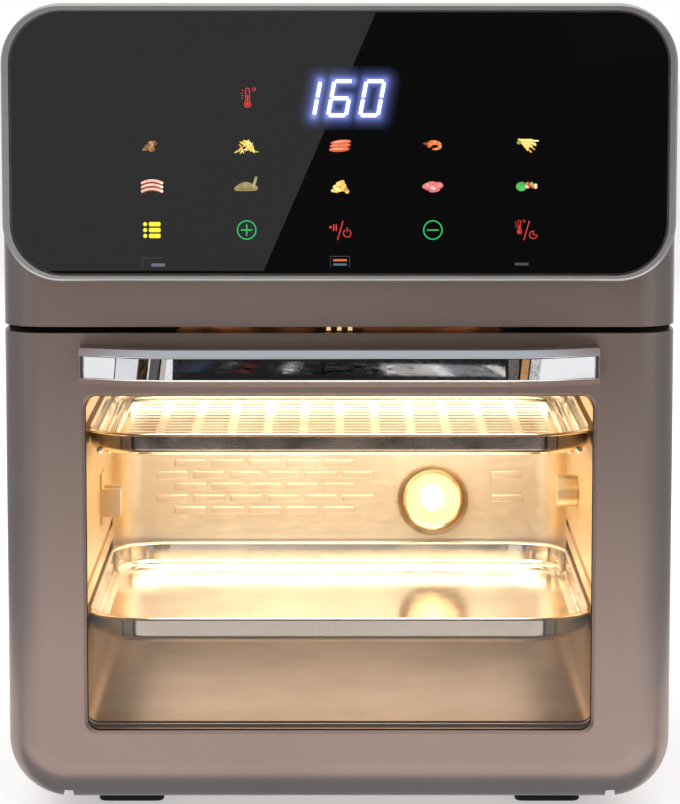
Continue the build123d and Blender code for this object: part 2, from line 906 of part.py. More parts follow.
def strip_band():
    """Plan area of the bright strip along the handle's front."""
    outer = bow(0, handle_half, handle_end_reach, handle_knee_x, handle_knee_r)
    band = Pos(0, -strip_proud) * outer - Pos(0, strip_t) * outer
    inside = 2 * (handle_half - strip_end)
    return band & Pos(0, door_face_y - handle_reach / 2) * Rectangle(inside, 2 * handle_reach)


def handle_bar():
    """Bow handle with bevelled edges, a finger gap behind and a groove for the strip."""
    z0 = handle_z - handle_height / 2
    z1 = handle_z + handle_height / 2
    outer = bow(0, handle_half, handle_end_reach, handle_knee_x, handle_knee_r)
    bar = lay_flat(outer, 0, 0, z0, z1)
    front = [e for e in bar.edges()
             if e.center().Y < door_face_y - handle_end_reach - tiny and
             min(abs(e.center().Z - z0), abs(e.center().Z - z1)) < tiny]
    bar = chamfer(front, handle_bevel)
    gap_half = handle_half - handle_post
    gap = bow(handle_bar_t, gap_half, handle_gap_end, gap_half - 2 * handle_pocket_r, handle_pocket_r)
    bar -= lay_flat(gap, 0, 0, z0 - over, z1 + over)
    bar -= lay_flat(strip_band(), 0, 0, handle_z - strip_height / 2, handle_z + strip_height / 2)
    for side in (-1, 1):
        bar -= along_y(side * handle_screw_x, handle_z, door_face_y - handle_screw_depth,
                       door_face_y + over, screw_r)
    return bar


def handle_strip():
    """Bright metal strip let into the handle."""
    return lay_flat(strip_band(), 0, 0, handle_z - strip_height / 2, handle_z + strip_height / 2)


def hinge_pins():
    """Two steel pins fixed in the door, which turn in the hinge ears."""
    return Compound(children=[along_x(hinge_y, hinge_z, side * hinge_x - pin_half_length,
                                      side * hinge_x + pin_half_length, pin_r) for side in (-1, 1)])


def hinge_brackets():
    """Two hinge brackets on the front frame."""
    return Compound(children=[hinge_bracket(-hinge_x), hinge_bracket(hinge_x)])


def hinge_bracket(x):
    """Ear that comes forward through the frame, with its foot behind the frame."""
    ear = block(x - ear_t / 2, x + ear_t / 2, hinge_y, cavity_y + ear_foot_t,
                hinge_z - ear_bar_half, hinge_z + ear_bar_half)
    ear += along_x(hinge_y, hinge_z, x - ear_t / 2, x + ear_t / 2, ear_r)
    ear += block(x - ear_foot_half, x + ear_foot_half, cavity_y, cavity_y + ear_foot_t,
                 hinge_z - ear_foot_half, hinge_z + ear_foot_half)
    return ear - along_x(hinge_y, hinge_z, x - ear_t, x + ear_t, pin_r + slip_fit)


# Seam between the door and the head, and the pieces that hold and sense the door

def latch_tongue():
    """Ribbed metal tab on the middle of the door's top edge."""
    y0 = door_face_y + seam_inset
    y1 = y0 + tongue_depth
    rib_z = door_top + tongue_t
    tab = block(-tongue_half, tongue_half, y0, y1, door_top, rib_z)
    for rib in (-1, 0, 1):
        x = rib * tongue_rib_pitch
        tab += block(x - tongue_rib_half, x + tongue_rib_half, y0, y1, rib_z, door_top + seam_gap / 2)
    return tab


def seam_bumpers():
    """Two rubber bumpers under the head that the door's top edge closes up to."""
    y0 = door_face_y + seam_inset
    pads = [block(side * bumper_x - bumper_half, side * bumper_x + bumper_half, y0, y0 + bumper_depth,
                  door_top + seam_gap / 2, head_bottom) for side in (-1, 1)]
    return Compound(children=pads)


def door_magnets():
    """Two magnets behind the top of the frame that hold the door shut."""
    y0 = cavity_y + liner_t
    blocks = [block(side * bumper_x - magnet_half, side * bumper_x + magnet_half, y0, y0 + magnet_t,
                    liner_top + running_gap, door_top - running_gap) for side in (-1, 1)]
    return Compound(children=blocks)


def door_switch():
    """Safety switch body behind the frame."""
    y1 = cavity_y + switch_depth
    body = block(switch_x - switch_half, switch_x + switch_half, cavity_y, y1,
                 switch_z - switch_half_height, switch_z + switch_half_height)
    body -= along_y(switch_x, switch_z, cavity_y - over, cavity_y + plunger_well, plunger_r + slip_fit)
    for step in (-1, 0, 1):
        z = switch_z + step * tab_pitch
        body += block(switch_x - tab_half, switch_x + tab_half, y1, y1 + tab_length,
                      z - tab_t / 2, z + tab_t / 2)
    return body


def switch_plunger():
    """Button of the safety switch, held in by the closed door."""
    return along_y(switch_x, switch_z, door_back_y + switch_gap, cavity_y + plunger_in, plunger_r)


# Heating chamber, fan and motor

def heater_chamber():
    """Drawn steel lid over the fan and heater, flanged down on the cavity's ceiling."""
    lid = upright(0, fan_y, liner_top, chamber_top, chamber_r)
    lid = fillet(lid.edges().filter_by(GeomType.CIRCLE).sort_by(Axis.Z)[-1], chamber_edge)
    lid += upright(0, fan_y, liner_top, liner_top + chamber_t, chamber_r + chamber_flange)
    hollow = upright(0, fan_y, liner_top - over, chamber_top - chamber_t, chamber_r - chamber_t)
    hollow = fillet(hollow.edges().filter_by(GeomType.CIRCLE).sort_by(Axis.Z)[-1],
                    chamber_edge - chamber_t)
    lid -= hollow
    lid -= upright(0, fan_y, liner_top, chamber_top + over, shaft_r + chamber_eye)
    inside = duct_half - duct_t
    lid -= block(-inside, inside, fan_y, fan_y + chamber_r + over, deck_top + duct_t,
                 deck_top + duct_height - duct_t)
    for place in terminal_places():
        lid -= upright(place.X, place.Y, chamber_top - chamber_t - over, chamber_top + over,
                       heater_tube_r + running_gap)
    return lid


def ring_point(radius, degrees, z):
    """A point of a level circle about the fan's axis."""
    angle = math.radians(degrees)
    return Vector(radius * math.cos(angle), fan_y + radius * math.sin(angle), z)


def terminal_places():
    """Where the two ends of the heater rise through the chamber's lid."""
    angle = math.radians(heater_start)
    back = Vector(math.sin(angle), -math.cos(angle), 0) * heater_bend_r
    return [ring_point(radius, heater_start, heater_z) + back for radius in (heater_outer_r, heater_inner_r)]


def heater_turn(radius, place):
    """Lines and arcs of one turn, from the top of its terminal to the turn's far end."""
    lift = Vector(0, 0, 1)
    top = place + lift * heater_terminal_rise
    bend_top = place + lift * heater_bend_r
    start = ring_point(radius, heater_start, heater_z)
    along = (start - place).normalized()
    bend_mid = bend_top + (along - (along + lift) * math.sqrt(0.5)) * heater_bend_r
    far = 360 - heater_start
    quarter = (far - heater_start) / 4
    angles = [heater_start + quarter * step for step in range(5)]
    points = [ring_point(radius, angle, heater_z) for angle in angles]
    return [Line(top, bend_top), ThreePointArc(bend_top, bend_mid, start),
            ThreePointArc(points[0], points[1], points[2]), ThreePointArc(points[2], points[3], points[4])]


def heating_element():
    """One tube: down a terminal, round the outer turn, back round the inner turn and up again."""
    outer_place, inner_place = terminal_places()
    far = 360 - heater_start
    outer_end = ring_point(heater_outer_r, far, heater_z)
    inner_end = ring_point(heater_inner_r, far, heater_z)
    forward = Vector(-math.sin(math.radians(far)), math.cos(math.radians(far)), 0)
    loop_mid = (outer_end + inner_end) * 0.5 + forward * (heater_outer_r - heater_inner_r) / 2
    edges = heater_turn(heater_outer_r, outer_place)
    edges.append(ThreePointArc(outer_end, loop_mid, inner_end))
    edges += reversed(heater_turn(heater_inner_r, inner_place))
    path = Wire(edges)
    top = outer_place + Vector(0, 0, heater_terminal_rise)
    tube = sweep(Plane(origin=top, z_dir=(0, 0, -1)) * Circle(heater_tube_r), path=path)
    expected = math.pi * heater_tube_r ** 2 * path.length
    print("heater tube volume over section times length:", round(tube.volume / expected, 4))
    print("heater turns clear each other by", heater_outer_r - heater_inner_r - 2 * heater_tube_r)
    return tube


def fan_guard():
    """Disc under the fan with rings of radial slots."""
    disc = Circle(guard_r)
    ring_r = guard_first_r
    while ring_r + guard_slot_length / 2 < ceiling_hole_r - guard_slot_width:
        count = round(2 * math.pi * ring_r / guard_slot_spacing)
        disc -= PolarLocations(ring_r, count) * SlotOverall(guard_slot_length, guard_slot_width)
        ring_r += guard_ring_pitch
    return lay_flat(disc, 0, fan_y, cavity_top - guard_t, cavity_top)


def bladed_wheel(radius, blades, z0, height, plate_at_top, lean):
    """Fan wheel: hub, back plate and a ring of leaning blades."""
    wheel = upright(0, fan_y, z0, z0 + height, hub_r)
    plate_z = z0 + height - wheel_plate_t if plate_at_top else z0
    wheel += upright(0, fan_y, plate_z, plate_z + wheel_plate_t, radius - blade_overhang)
    blade = Box(radius - shaft_r, blade_t, height - 2 * blade_edge_gap)
    blade = Pos((radius + shaft_r) / 2 + over, 0, z0 + height / 2) * Rot(lean, 0, 0) * blade
    blade &= upright(0, 0, z0, z0 + height, radius)
    for index in range(blades):
        wheel += Pos(0, fan_y, 0) * Rot(0, 0, index * 360 / blades) * blade
    return wheel - upright(0, fan_y, z0 - over, z0 + height + over, shaft_r)


def convection_fan():
    """Hot-air fan inside the chamber."""
    return bladed_wheel(fan_r, fan_blades, fan_z, fan_height, True, blade_lean)


def cooling_fan():
    """Fan on the shaft's upper end that cools the motor and the boards."""
    return bladed_wheel(cooling_fan_r, cooling_fan_blades, cooling_fan_z, cooling_fan_height, False,
                        cooling_lean)


def motor_shaft():
    """Shaft that carries both fans and the rotor."""
    return upright(0, fan_y, fan_z - shaft_end, cooling_fan_z + cooling_fan_height + shaft_end, shaft_r)


def rotor_core():
    """Laminated rotor on the shaft."""
    core = upright(0, fan_y, stator_z, stator_top, rotor_r)
    return core - upright(0, fan_y, stator_z - over, stator_top + over, shaft_r)


def motor_stator():
    """Laminated stator block."""
    outline = RectangleRounded(2 * stator_half, 2 * stator_half, stator_corner) - Circle(rotor_r + air_gap)
    return lay_flat(outline, 0, fan_y, stator_z, stator_top)


def motor_coil():
    """Wound bobbin on the stator's back leg."""
    y0 = fan_y + stator_half
    coil = block(-coil_half, coil_half, y0, y0 + coil_depth, stator_z - coil_over, stator_top + coil_over)
    return fillet(coil.edges().filter_by(Axis.Y), coil_edge)


def bearing_straps():
    """Two pressed straps that hold the shaft's bushes below and above the stator."""
    low = stator_z - strap_t
    places = ((low, low - bearing_height), (stator_top, stator_top + strap_t))
    straps = []
    for strap_z, bush_z in places:
        strap = block(-stator_half, stator_half, fan_y - strap_half, fan_y + strap_half,
                      strap_z, strap_z + strap_t)
        strap += upright(0, fan_y, bush_z, bush_z + bearing_height, bearing_r)
        straps.append(strap - upright(0, fan_y, bush_z - bearing_height, bush_z + 2 * bearing_height,
                                      shaft_r + slip_fit))
    return Compound(children=straps)


def motor_mount():
    """Plate that holds the motor clear of the hot chamber."""
    outline = RectangleRounded(2 * mount_half, 2 * mount_half, mount_corner) - Circle(shaft_r + mount_eye)
    return lay_flat(outline, 0, fan_y, mount_z, mount_z + mount_t)


def standoffs():
    """Spacers under the motor mount, under the stator and behind the power board."""
    posts = board_posts()
    low = mount_half - mount_post_inset
    for sx in (-1, 1):
        for sy in (-1, 1):
            posts.append(upright(sx * low, fan_y + sy * low, chamber_top, mount_z, mount_post_r))
            posts.append(upright(sx * pillar_offset, fan_y + sy * pillar_offset, mount_z + mount_t,
                                 stator_z, pillar_r))
    return Compound(children=posts)


def thermal_cutout():
    """Disc thermostat on the chamber's lid, with two tabs."""
    y = fan_y - cutout_before_fan
    top = chamber_top + cutout_t
    body = upright(cutout_x, y, chamber_top, top, cutout_r)
    for side in (-1, 1):
        x = cutout_x + side * cutout_r / 2
        body += block(x - tab_half, x + tab_half, y - tab_t / 2, y + tab_t / 2, top, top + tab_length)
    return body


def exhaust_duct():
    """Short duct from the chamber to the grille at the back of the head."""
    z1 = deck_top + duct_height
    inside = duct_half - duct_t
    duct = block(-duct_half, duct_half, fan_y, back_y - seam_recess - deck_t, deck_top, z1)
    duct -= block(-inside, inside, fan_y - over, back_y, deck_top + duct_t, z1 - duct_t)
    return duct - upright(0, fan_y, deck_top - over, z1 + over, chamber_r + running_gap)


# Head

def deck_plate():
    """Steel deck between cabinet and head, with a turned-up rim that shows in the seam."""
    half = half_width - seam_recess
    rear = back_y - seam_recess
    corner = edge_radius - seam_recess
    deck = block(-half, half, frame_y, rear, door_top, head_bottom)
    deck = fillet([e for e in deck.edges().filter_by(Axis.Z) if e.center().Y > 0], corner)
    tray = block(-half + deck_t, half - deck_t, frame_y + deck_t, rear - deck_t,
                 deck_top, head_bottom + over)
    tray = fillet([e for e in tray.edges().filter_by(Axis.Z) if e.center().Y > 0], corner - deck_t)
    hole = upright(0, fan_y, door_top - over, head_bottom + over, chamber_r + deck_hole_gap)
    return deck - tray - hole


def head_cover():
    """Moulded top, sides and back of the head."""
    y_front = door_back_y + running_gap
    cover_top = overall_height - head_cover_drop
    cover = housing(half_width, head_bottom, cover_top, y_front, back_y, top_corner, edge_radius, True)
    cover -= housing(half_width - head_wall, head_bottom - over, cover_top - head_wall,
                     y_front - over, back_y - head_wall, top_corner - head_wall,
                     edge_radius - head_wall, True)
    through = (back_y - head_wall - over, back_y + over)
    cover -= block(-grille_half, grille_half, *through, grille_z - grille_half_height,
                   grille_z + grille_half_height)
    vents = vent_field(2 * head_vent_half, head_vent_height)
    return cover - stand_up(vents, 0, head_vent_z0 + head_vent_height / 2, *through)


def exhaust_grille():
    """Louvred outlet let into the back of the head."""
    half = grille_half + grille_flange
    half_height = grille_half_height + grille_flange
    frame = block(-half, half, back_y, back_y + grille_t, grille_z - half_height, grille_z + half_height)
    half = grille_half - slip_fit
    half_height = grille_half_height - slip_fit
    frame += block(-half, half, back_y - head_wall, back_y, grille_z - half_height, grille_z + half_height)
    slot = SlotOverall(grille_slot_length, grille_slot_width, rotation=90)
    slots = Sketch() + GridLocations(grille_pitch, over, grille_columns, 1) * slot
    return frame - stand_up(slots, 0, grille_z, back_y - head_wall - over, back_y + grille_t + over)


def control_fascia():
    """Moulded front of the head: proud panel rim, plain band below it and closed floor."""
    body = housing(half_width, head_bottom, overall_height, door_back_y, door_face_y,
                   top_corner, edge_radius, True)
    rim = plate(bezel_half, bezel_bottom, overall_height, bezel_y, door_back_y, top_corner)
    body += fillet(edges_at_y(rim, bezel_y), rim_edge)
    inside = door_face_y + fascia_wall
    hollow = housing(half_width - fascia_wall, head_bottom + fascia_wall, overall_height - fascia_wall,
                     door_back_y + over, inside, top_corner - fascia_wall, edge_radius - fascia_wall, True)
    body -= hollow
    body -= plate(glass_half + panel_gap, glass_low - panel_gap, glass_high + panel_gap,
                  bezel_y - over, guide_y, top_corner - rim_width)
    body -= plate(glass_half - panel_ledge, glass_low + panel_ledge, glass_high - panel_ledge,
                  bezel_y, inside + rim_floor, panel_hole_corner)
    tongue_y = frame_y + deck_t + hem_width
    body += block(-half_width + edge_radius, half_width - edge_radius, door_back_y - over, tongue_y,
                  head_bottom, head_bottom + fascia_wall)
    for x, z in board_boss_places():
        body += along_y(x, z, inside - over, board_y, board_boss_r)
    return body


def board_boss_places():
    """Boss positions near the touch board's corners."""
    x = glass_half - board_boss_inset
    low = glass_low + board_boss_rise
    high = glass_high - board_boss_rise
    return [(side * x, z) for side in (-1, 1) for z in (low, high)]


def control_glass():
    """Black touch glass in the panel rim."""
    return plate(glass_half, glass_low, glass_high, glass_y, guide_y, top_corner - rim_width - panel_gap)


def light_guide():
    """Moulded grid behind the glass that keeps each icon's light to itself."""
    edge = panel_ledge + running_gap
    through = (guide_y - over, board_y + over)
    half_cell = icon_cell / 2
    guide = plate(glass_half - edge, glass_low + edge, glass_high - edge, guide_y, board_y,
                  panel_hole_corner)
    for drop in icon_row_drops:
        z = glass_high - drop
        for column in range(-2, 3):
            guide -= plate(half_cell, z - half_cell, z + half_cell, *through, guide_corner,
                           column * icon_column)
    guide -= plate(half_cell, display_z - half_cell, display_z + half_cell, *through, guide_corner,
                   -icon_column)
    reach = display_half_height + slip_fit
    return guide - plate(display_half_width + slip_fit, display_z - reach, display_z + reach, *through,
                         display_corner, display_x)


def display_module():
    """Three-digit display block on the touch board."""
    return plate(display_half_width, display_z - display_half_height, display_z + display_half_height,
                 guide_y + running_gap, board_y, display_corner, display_x)


def touch_board():
    """Circuit board behind the light guide, with its plug for the ribbon."""
    board = plate(glass_half - board_margin, glass_low + panel_ledge / 2, glass_high - panel_ledge / 2,
                  board_y, board_y + board_t, top_corner - 2 * board_margin)
    y0 = board_y + board_t
    return board + block(ribbon_x - plug_half, ribbon_x + plug_half, y0, y0 + plug_t,
                         ribbon_z - plug_half_height, ribbon_z + plug_half_height)


def ribbon_cable():
    """Flat cable from the touch board back to the power board's socket."""
    y0 = board_y + board_t + plug_t
    y1 = power_y0 + socket_place
    side_x = power_x + ribbon_lift
    points = [(ribbon_x, y0), (ribbon_x, y0 + ribbon_lead), (side_x, y1 - ribbon_lead), (side_x, y1)]
    line = FilletPolyline(*points, radius=ribbon_bend)
    print("ribbon length", round(line.length, 1))
    return lay_flat(trace(line, line_width=ribbon_t), 0, 0, ribbon_z - ribbon_half, ribbon_z + ribbon_half)


def power_bracket():
    """Angle bracket on the deck that carries the power board."""
    x1 = power_x - board_standoff
    x0 = x1 - deck_t
    y1 = power_y0 + power_length
    bracket = block(x0, x1, power_y0, y1, deck_top, power_z0 + power_height)
    return bracket + block(x0, x0 + bracket_foot, power_y0, y1, deck_top, deck_top + deck_t)


def board_posts():
    """Spacers between the bracket and the power board."""
    posts = []
    for y in (power_y0 + board_post_inset, power_y0 + power_length - board_post_inset):
        for z in (power_z0 + board_post_inset, power_z0 + power_height - board_post_inset):
            posts.append(along_x(y, z, power_x - board_standoff, power_x, board_post_r))
    return posts


def power_board():
    """Mains and control board with its transformer, relay, capacitors and ribbon socket."""
    pieces = [block(power_x, board_face_x, power_y0, power_y0 + power_length,
                    power_z0, power_z0 + power_height)]
    for place, length, rise, height, lift in board_boxes.values():
        pieces.append(block(board_face_x, board_face_x + lift, power_y0 + place, power_y0 + place + length,
                            power_z0 + rise, power_z0 + rise + height))
    for place, rise, radius, lift in board_cans.values():
        pieces.append(along_x(power_y0 + place, power_z0 + rise, board_face_x, board_face_x + lift, radius))
    reach = ribbon_half + socket_over
    y0 = power_y0 + socket_place
    pieces.append(block(board_face_x, board_face_x + socket_lift, y0, y0 + socket_t,
                        ribbon_z - reach, ribbon_z + reach))
    return Compound(children=pieces)


# Lamp, sensor and rotisserie

def lamp_socket():
    """Lamp holder on the back of the cavity."""
    y0 = lamp_back_y
    y1 = y0 + lamp_depth
    holder = along_y(lamp_x, lamp_z, y0, y0 + lamp_flange_t, lamp_hole_r + lamp_flange)
    holder += along_y(lamp_x, lamp_z, y0, y1, lamp_hole_r + lamp_wall)
    holder += along_y(lamp_x, lamp_z, y1, y1 + lamp_tail, lamp_tail_r)
    holder -= along_y(lamp_x, lamp_z, y0 - over, y1 - lamp_floor_t, lamp_hole_r)
    return holder - along_y(lamp_x, lamp_z, y1 - lamp_floor_t - over, y1 - lamp_floor_t + bulb_pin,
                            bulb_r / 2)


def lamp_bulb():
    """Capsule bulb through the back wall."""
    front = cavity_back_y - dome_depth + dome_t + bulb_gap
    foot = lamp_back_y + lamp_depth - lamp_floor_t
    bulb = along_y(lamp_x, lamp_z, front, foot, bulb_r)
    bulb = fillet(edges_at_y(bulb, front), bulb_r - over)
    return bulb + along_y(lamp_x, lamp_z, foot, foot + bulb_pin, bulb_r / 2)


def lamp_cover():
    """Glass dome over the bulb, inside the cavity."""
    front = cavity_back_y - dome_depth
    dome = along_y(lamp_x, lamp_z, front, cavity_back_y, dome_r)
    dome = fillet(edges_at_y(dome, front), dome_edge)
    hollow = along_y(lamp_x, lamp_z, front + dome_t, cavity_back_y + over, dome_r - dome_t)
    return dome - fillet(edges_at_y(hollow, front + dome_t), dome_edge - dome_t)


def temperature_sensor():
    """Probe through the back wall, near the ceiling."""
    front = cavity_back_y - sensor_reach
    probe = along_y(sensor_x, sensor_z, front, cavity_back_y + sensor_tail, sensor_r)
    probe = fillet(edges_at_y(probe, front), sensor_r * 0.8)
    return probe + along_y(sensor_x, sensor_z, lamp_back_y, lamp_back_y + sensor_flange_t, sensor_flange_r)


def spit_motor():
    """Slow motor held clear of the cavity's right wall by two lugs and a strap."""
    motor = along_x(spit_y, spit_z, spit_motor_x, spit_motor_x + spit_motor_t, spit_motor_r)
    motor = fillet(motor.edges().filter_by(GeomType.CIRCLE).sort_by(Axis.X)[-1], spit_motor_edge)
    reach = spit_lug_y + spit_lug_half
    z0 = spit_z - spit_lug_half
    z1 = spit_z + spit_lug_half
    motor += block(spit_motor_x, spit_motor_x + spit_lug_t, spit_y - reach, spit_y + reach, z0, z1)
    for side in (-1, 1):
        y = spit_y + side * spit_lug_y
        motor += block(spit_wall_x, spit_motor_x, y - spit_lug_half, y + spit_lug_half, z0, z1)
    return motor - along_x(spit_y, spit_z, spit_motor_x - over, spit_motor_x + spit_shaft_in + over,
                           spit_shaft_r + slip_fit)


def spit_drive():
    """Square-mouthed socket that turns a rotisserie spit."""
    face = cavity_half - running_gap
    mouth = face - spit_socket_length
    half = spit_square / 2
    socket = along_x(spit_y, spit_z, mouth, face, spit_socket_r)
    socket += along_x(spit_y, spit_z, face, spit_motor_x + spit_shaft_in, spit_shaft_r)
    return socket - block(mouth - over, mouth + spit_well, spit_y - half, spit_y + half,
                          spit_z - half, spit_z + half)


def spit_rest():
    """Bracket on the left wall with an open-topped notch for the spit's other end."""
    x0 = -cavity_half
    rest = block(x0, x0 + rest_t, spit_y - rest_half, spit_y + rest_half,
                 spit_z - rest_below, spit_z + rest_above)
    rest += block(x0, x0 + rest_shelf_reach, spit_y - rest_shelf_half, spit_y + rest_shelf_half,
                  spit_z - rest_half, spit_z + rest_shelf_above)
    notch = along_x(spit_y, spit_z, x0 + rest_t, x0 + rest_shelf_reach + over, rest_notch_r)
    notch += block(x0 + rest_t, x0 + rest_shelf_reach + over, spit_y - rest_notch_r,
                   spit_y + rest_notch_r, spit_z, spit_z + rest_above)
    return rest - notch


nodes = [
    cabinet_shell, base_plate, rear_cover, chassis_screws, feet, rear_spacers, cord_gland,
    terminal_block, front_frame, cavity_liner, door_seal, lower_tray, upper_tray,
    door_frame, window_gasket, door_outer_glass, door_inner_frame, door_inner_glass, door_screws,
    handle_bar, handle_strip, hinge_pins, hinge_brackets, latch_tongue, seam_bumpers, door_magnets,
    door_switch, switch_plunger, heater_chamber, heating_element, fan_guard, convection_fan,
    cooling_fan, motor_shaft, rotor_core, motor_stator, motor_coil, bearing_straps, motor_mount,
    standoffs, thermal_cutout, exhaust_duct, deck_plate, head_cover, exhaust_grille,
    control_fascia, control_glass, light_guide, display_module, touch_board, ribbon_cable,
    power_bracket, power_board, lamp_socket, lamp_bulb, lamp_cover, temperature_sensor,
    spit_motor, spit_drive, spit_rest,
]

for make in nodes:
    save(make.__name__, make())
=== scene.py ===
# Countertop oven with two trays: its looks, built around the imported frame
import bmesh
import bpy
import math
import random
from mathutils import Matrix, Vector


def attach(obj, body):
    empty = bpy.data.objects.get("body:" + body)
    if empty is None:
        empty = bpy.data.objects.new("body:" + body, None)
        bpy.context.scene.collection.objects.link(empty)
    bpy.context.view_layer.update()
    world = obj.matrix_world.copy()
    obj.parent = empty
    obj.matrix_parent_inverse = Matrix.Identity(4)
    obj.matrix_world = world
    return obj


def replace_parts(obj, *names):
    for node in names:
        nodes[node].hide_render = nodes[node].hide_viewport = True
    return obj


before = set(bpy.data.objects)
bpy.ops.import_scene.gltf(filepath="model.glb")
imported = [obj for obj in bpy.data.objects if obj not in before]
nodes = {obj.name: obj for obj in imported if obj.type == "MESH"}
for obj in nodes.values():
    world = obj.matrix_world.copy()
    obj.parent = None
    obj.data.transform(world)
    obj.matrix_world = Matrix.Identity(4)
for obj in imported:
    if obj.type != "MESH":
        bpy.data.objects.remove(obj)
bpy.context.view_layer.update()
mm = 0.001
quarter = math.radians(90)


# Small helpers for modelling

def clearSelection():
    if bpy.context.mode != "OBJECT":
        bpy.ops.object.mode_set(mode="OBJECT")
    bpy.ops.object.select_all(action="DESELECT")


def makeActive(piece):
    clearSelection()
    piece.select_set(True)
    bpy.context.view_layer.objects.active = piece


def applyPlace(piece):
    makeActive(piece)
    bpy.ops.object.transform_apply(location=True, rotation=True, scale=True)


def openEdit(piece, kind="FACE", everything=False):
    makeActive(piece)
    bpy.ops.object.mode_set(mode="EDIT")
    bpy.ops.mesh.select_mode(type=kind)
    bpy.ops.mesh.select_all(action="SELECT" if everything else "DESELECT")


def pick(piece, kind, wanted):
    # selects those faces or edges of an open piece that are wanted
    shape = bmesh.from_edit_mesh(piece.data)
    for part in getattr(shape, kind):
        part.select_set(bool(wanted(part)))
    bmesh.update_edit_mesh(piece.data)


def closeEdit():
    bpy.ops.object.mode_set(mode="OBJECT")


def faceMiddle(face):
    return face.calc_center_median()


def edgeMiddle(edge):
    return (edge.verts[0].co + edge.verts[1].co) / 2


def addPrimitive(kind, scale=(1, 1, 1), **values):
    # one of Blender's primitives, with its place in its mesh
    clearSelection()
    getattr(bpy.ops.mesh, f"primitive_{kind}_add")(**values)
    piece = bpy.context.active_object
    piece.scale = scale
    applyPlace(piece)
    return piece


def newSheet(width, depth, x, y, z):
    # a flat rectangle facing up
    return addPrimitive("plane", (width, depth, 1), size=1, location=(x, y, z))


def newBlock(low, high):
    # a block between two corners
    middle = [(a + b) / 2 for a, b in zip(low, high)]
    return addPrimitive("cube", [b - a for a, b in zip(low, high)], size=1, location=middle)


def useModifier(piece, kind, **values):
    makeActive(piece)
    modifier = piece.modifiers.new(kind.lower(), kind)
    for name, value in values.items():
        setattr(modifier, name, value)
    bpy.ops.object.modifier_apply(modifier=modifier.name)


def joinPieces(pieces):
    makeActive(pieces[0])
    for other in pieces[1:]:
        other.select_set(True)
    bpy.ops.object.join()
    return pieces[0]


def settle(piece, name, body, finish, smoothDegrees=35):
    # names a finished piece and gives it its body, its slot and its finish
    applyPlace(piece)
    bpy.ops.object.shade_smooth_by_angle(angle=math.radians(smoothDegrees))
    piece.name = name
    piece.data.name = name
    piece.data.materials.clear()
    piece.data.materials.append(finish)
    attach(piece, body)
    return piece


# Colours and finishes

def colour(red, green, blue):
    # screen colour, 0 to 255, as the light values that Blender works in
    def one(value):
        value /= 255
        if value <= 0.04045:
            return value / 12.92
        return ((value + 0.055) / 1.055) ** 2.4
    return (one(red), one(green), one(blue), 1)


class Finish:
    # a material with one shader, and short names for the nodes that its patterns need
    def __init__(self, name, metallic=0.0, **sockets):
        self.material = bpy.data.materials.new(name)
        self.material.use_nodes = True
        self.tree = self.material.node_tree
        self.shader = self.tree.nodes["Principled BSDF"]
        self.shader.inputs["Metallic"].default_value = metallic
        for socket, value in sockets.items():
            self.shader.inputs[socket.replace("_", " ")].default_value = value
        self.place = self.tree.nodes.new("ShaderNodeTexCoord").outputs["Object"]

    def node(self, kind, **settings):
        made = self.tree.nodes.new(kind)
        for name, value in settings.items():
            setattr(made, name, value)
        return made

    def link(self, source, target):
        self.tree.links.new(source, target)

    def stretched(self, scale, turn=(0, 0, 0)):
        # scale is three numbers, or one for all three axes
        mapping = self.node("ShaderNodeMapping")
        mapping.inputs["Scale"].default_value = scale if hasattr(scale, "__len__") else (scale,) * 3
        mapping.inputs["Rotation"].default_value = turn
        self.link(self.place, mapping.inputs["Vector"])
        return mapping.outputs["Vector"]

    def noise(self, scale, detail=3.0):
        noise = self.node("ShaderNodeTexNoise")
        noise.inputs["Scale"].default_value = 1.0
        noise.inputs["Detail"].default_value = detail
        noise.inputs["Roughness"].default_value = 0.55
        self.link(self.stretched(scale), noise.inputs["Vector"])
        return noise.outputs["Fac"]

    def spread(self, value, low, high, start=0.32, end=0.68):
        ranged = self.node("ShaderNodeMapRange")
        for name, number in (("From Min", start), ("From Max", end), ("To Min", low), ("To Max", high)):
            ranged.inputs[name].default_value = number
        self.link(value, ranged.inputs["Value"])
        return ranged.outputs["Result"]

    def feed(self, value, socket):
        # value is another node's output, or a number or colour
        if hasattr(value, "links"):
            self.link(value, socket)
        else:
            socket.default_value = value

    def blend(self, factor, first, second):
        mixed = self.node("ShaderNodeMix", data_type="RGBA")
        for place, value in ((0, factor), (6, first), (7, second)):
            self.feed(value, mixed.inputs[place])
        return mixed.outputs[2]

    def parts(self, vector):
        split = self.node("ShaderNodeSeparateXYZ")
        self.link(vector, split.inputs[0])
        return split.outputs

    def facing(self):
        return self.parts(self.node("ShaderNodeNewGeometry").outputs["Normal"])

    def combine(self, operation, *values):
        made = self.node("ShaderNodeMath", operation=operation)
        for value, socket in zip(values, made.inputs):
            self.feed(value, socket)
        return made.outputs["Value"]

    def glow(self, value, strength):
        self.link(value, self.shader.inputs["Emission Color"])
        self.shader.inputs["Emission Strength"].default_value = strength

    def paint(self, value):
        self.link(value, self.shader.inputs["Base Color"])

    def polish(self, value):
        self.link(value, self.shader.inputs["Roughness"])

    def relief(self, value, depth, before=None):
        bump = self.node("ShaderNodeBump")
        bump.inputs["Strength"].default_value = 1.0
        bump.inputs["Distance"].default_value = depth
        self.link(value, bump.inputs["Height"])
        if before is not None:
            self.link(before, bump.inputs["Normal"])
        self.link(bump.outputs["Normal"], self.shader.inputs["Normal"])
        return bump.outputs["Normal"]


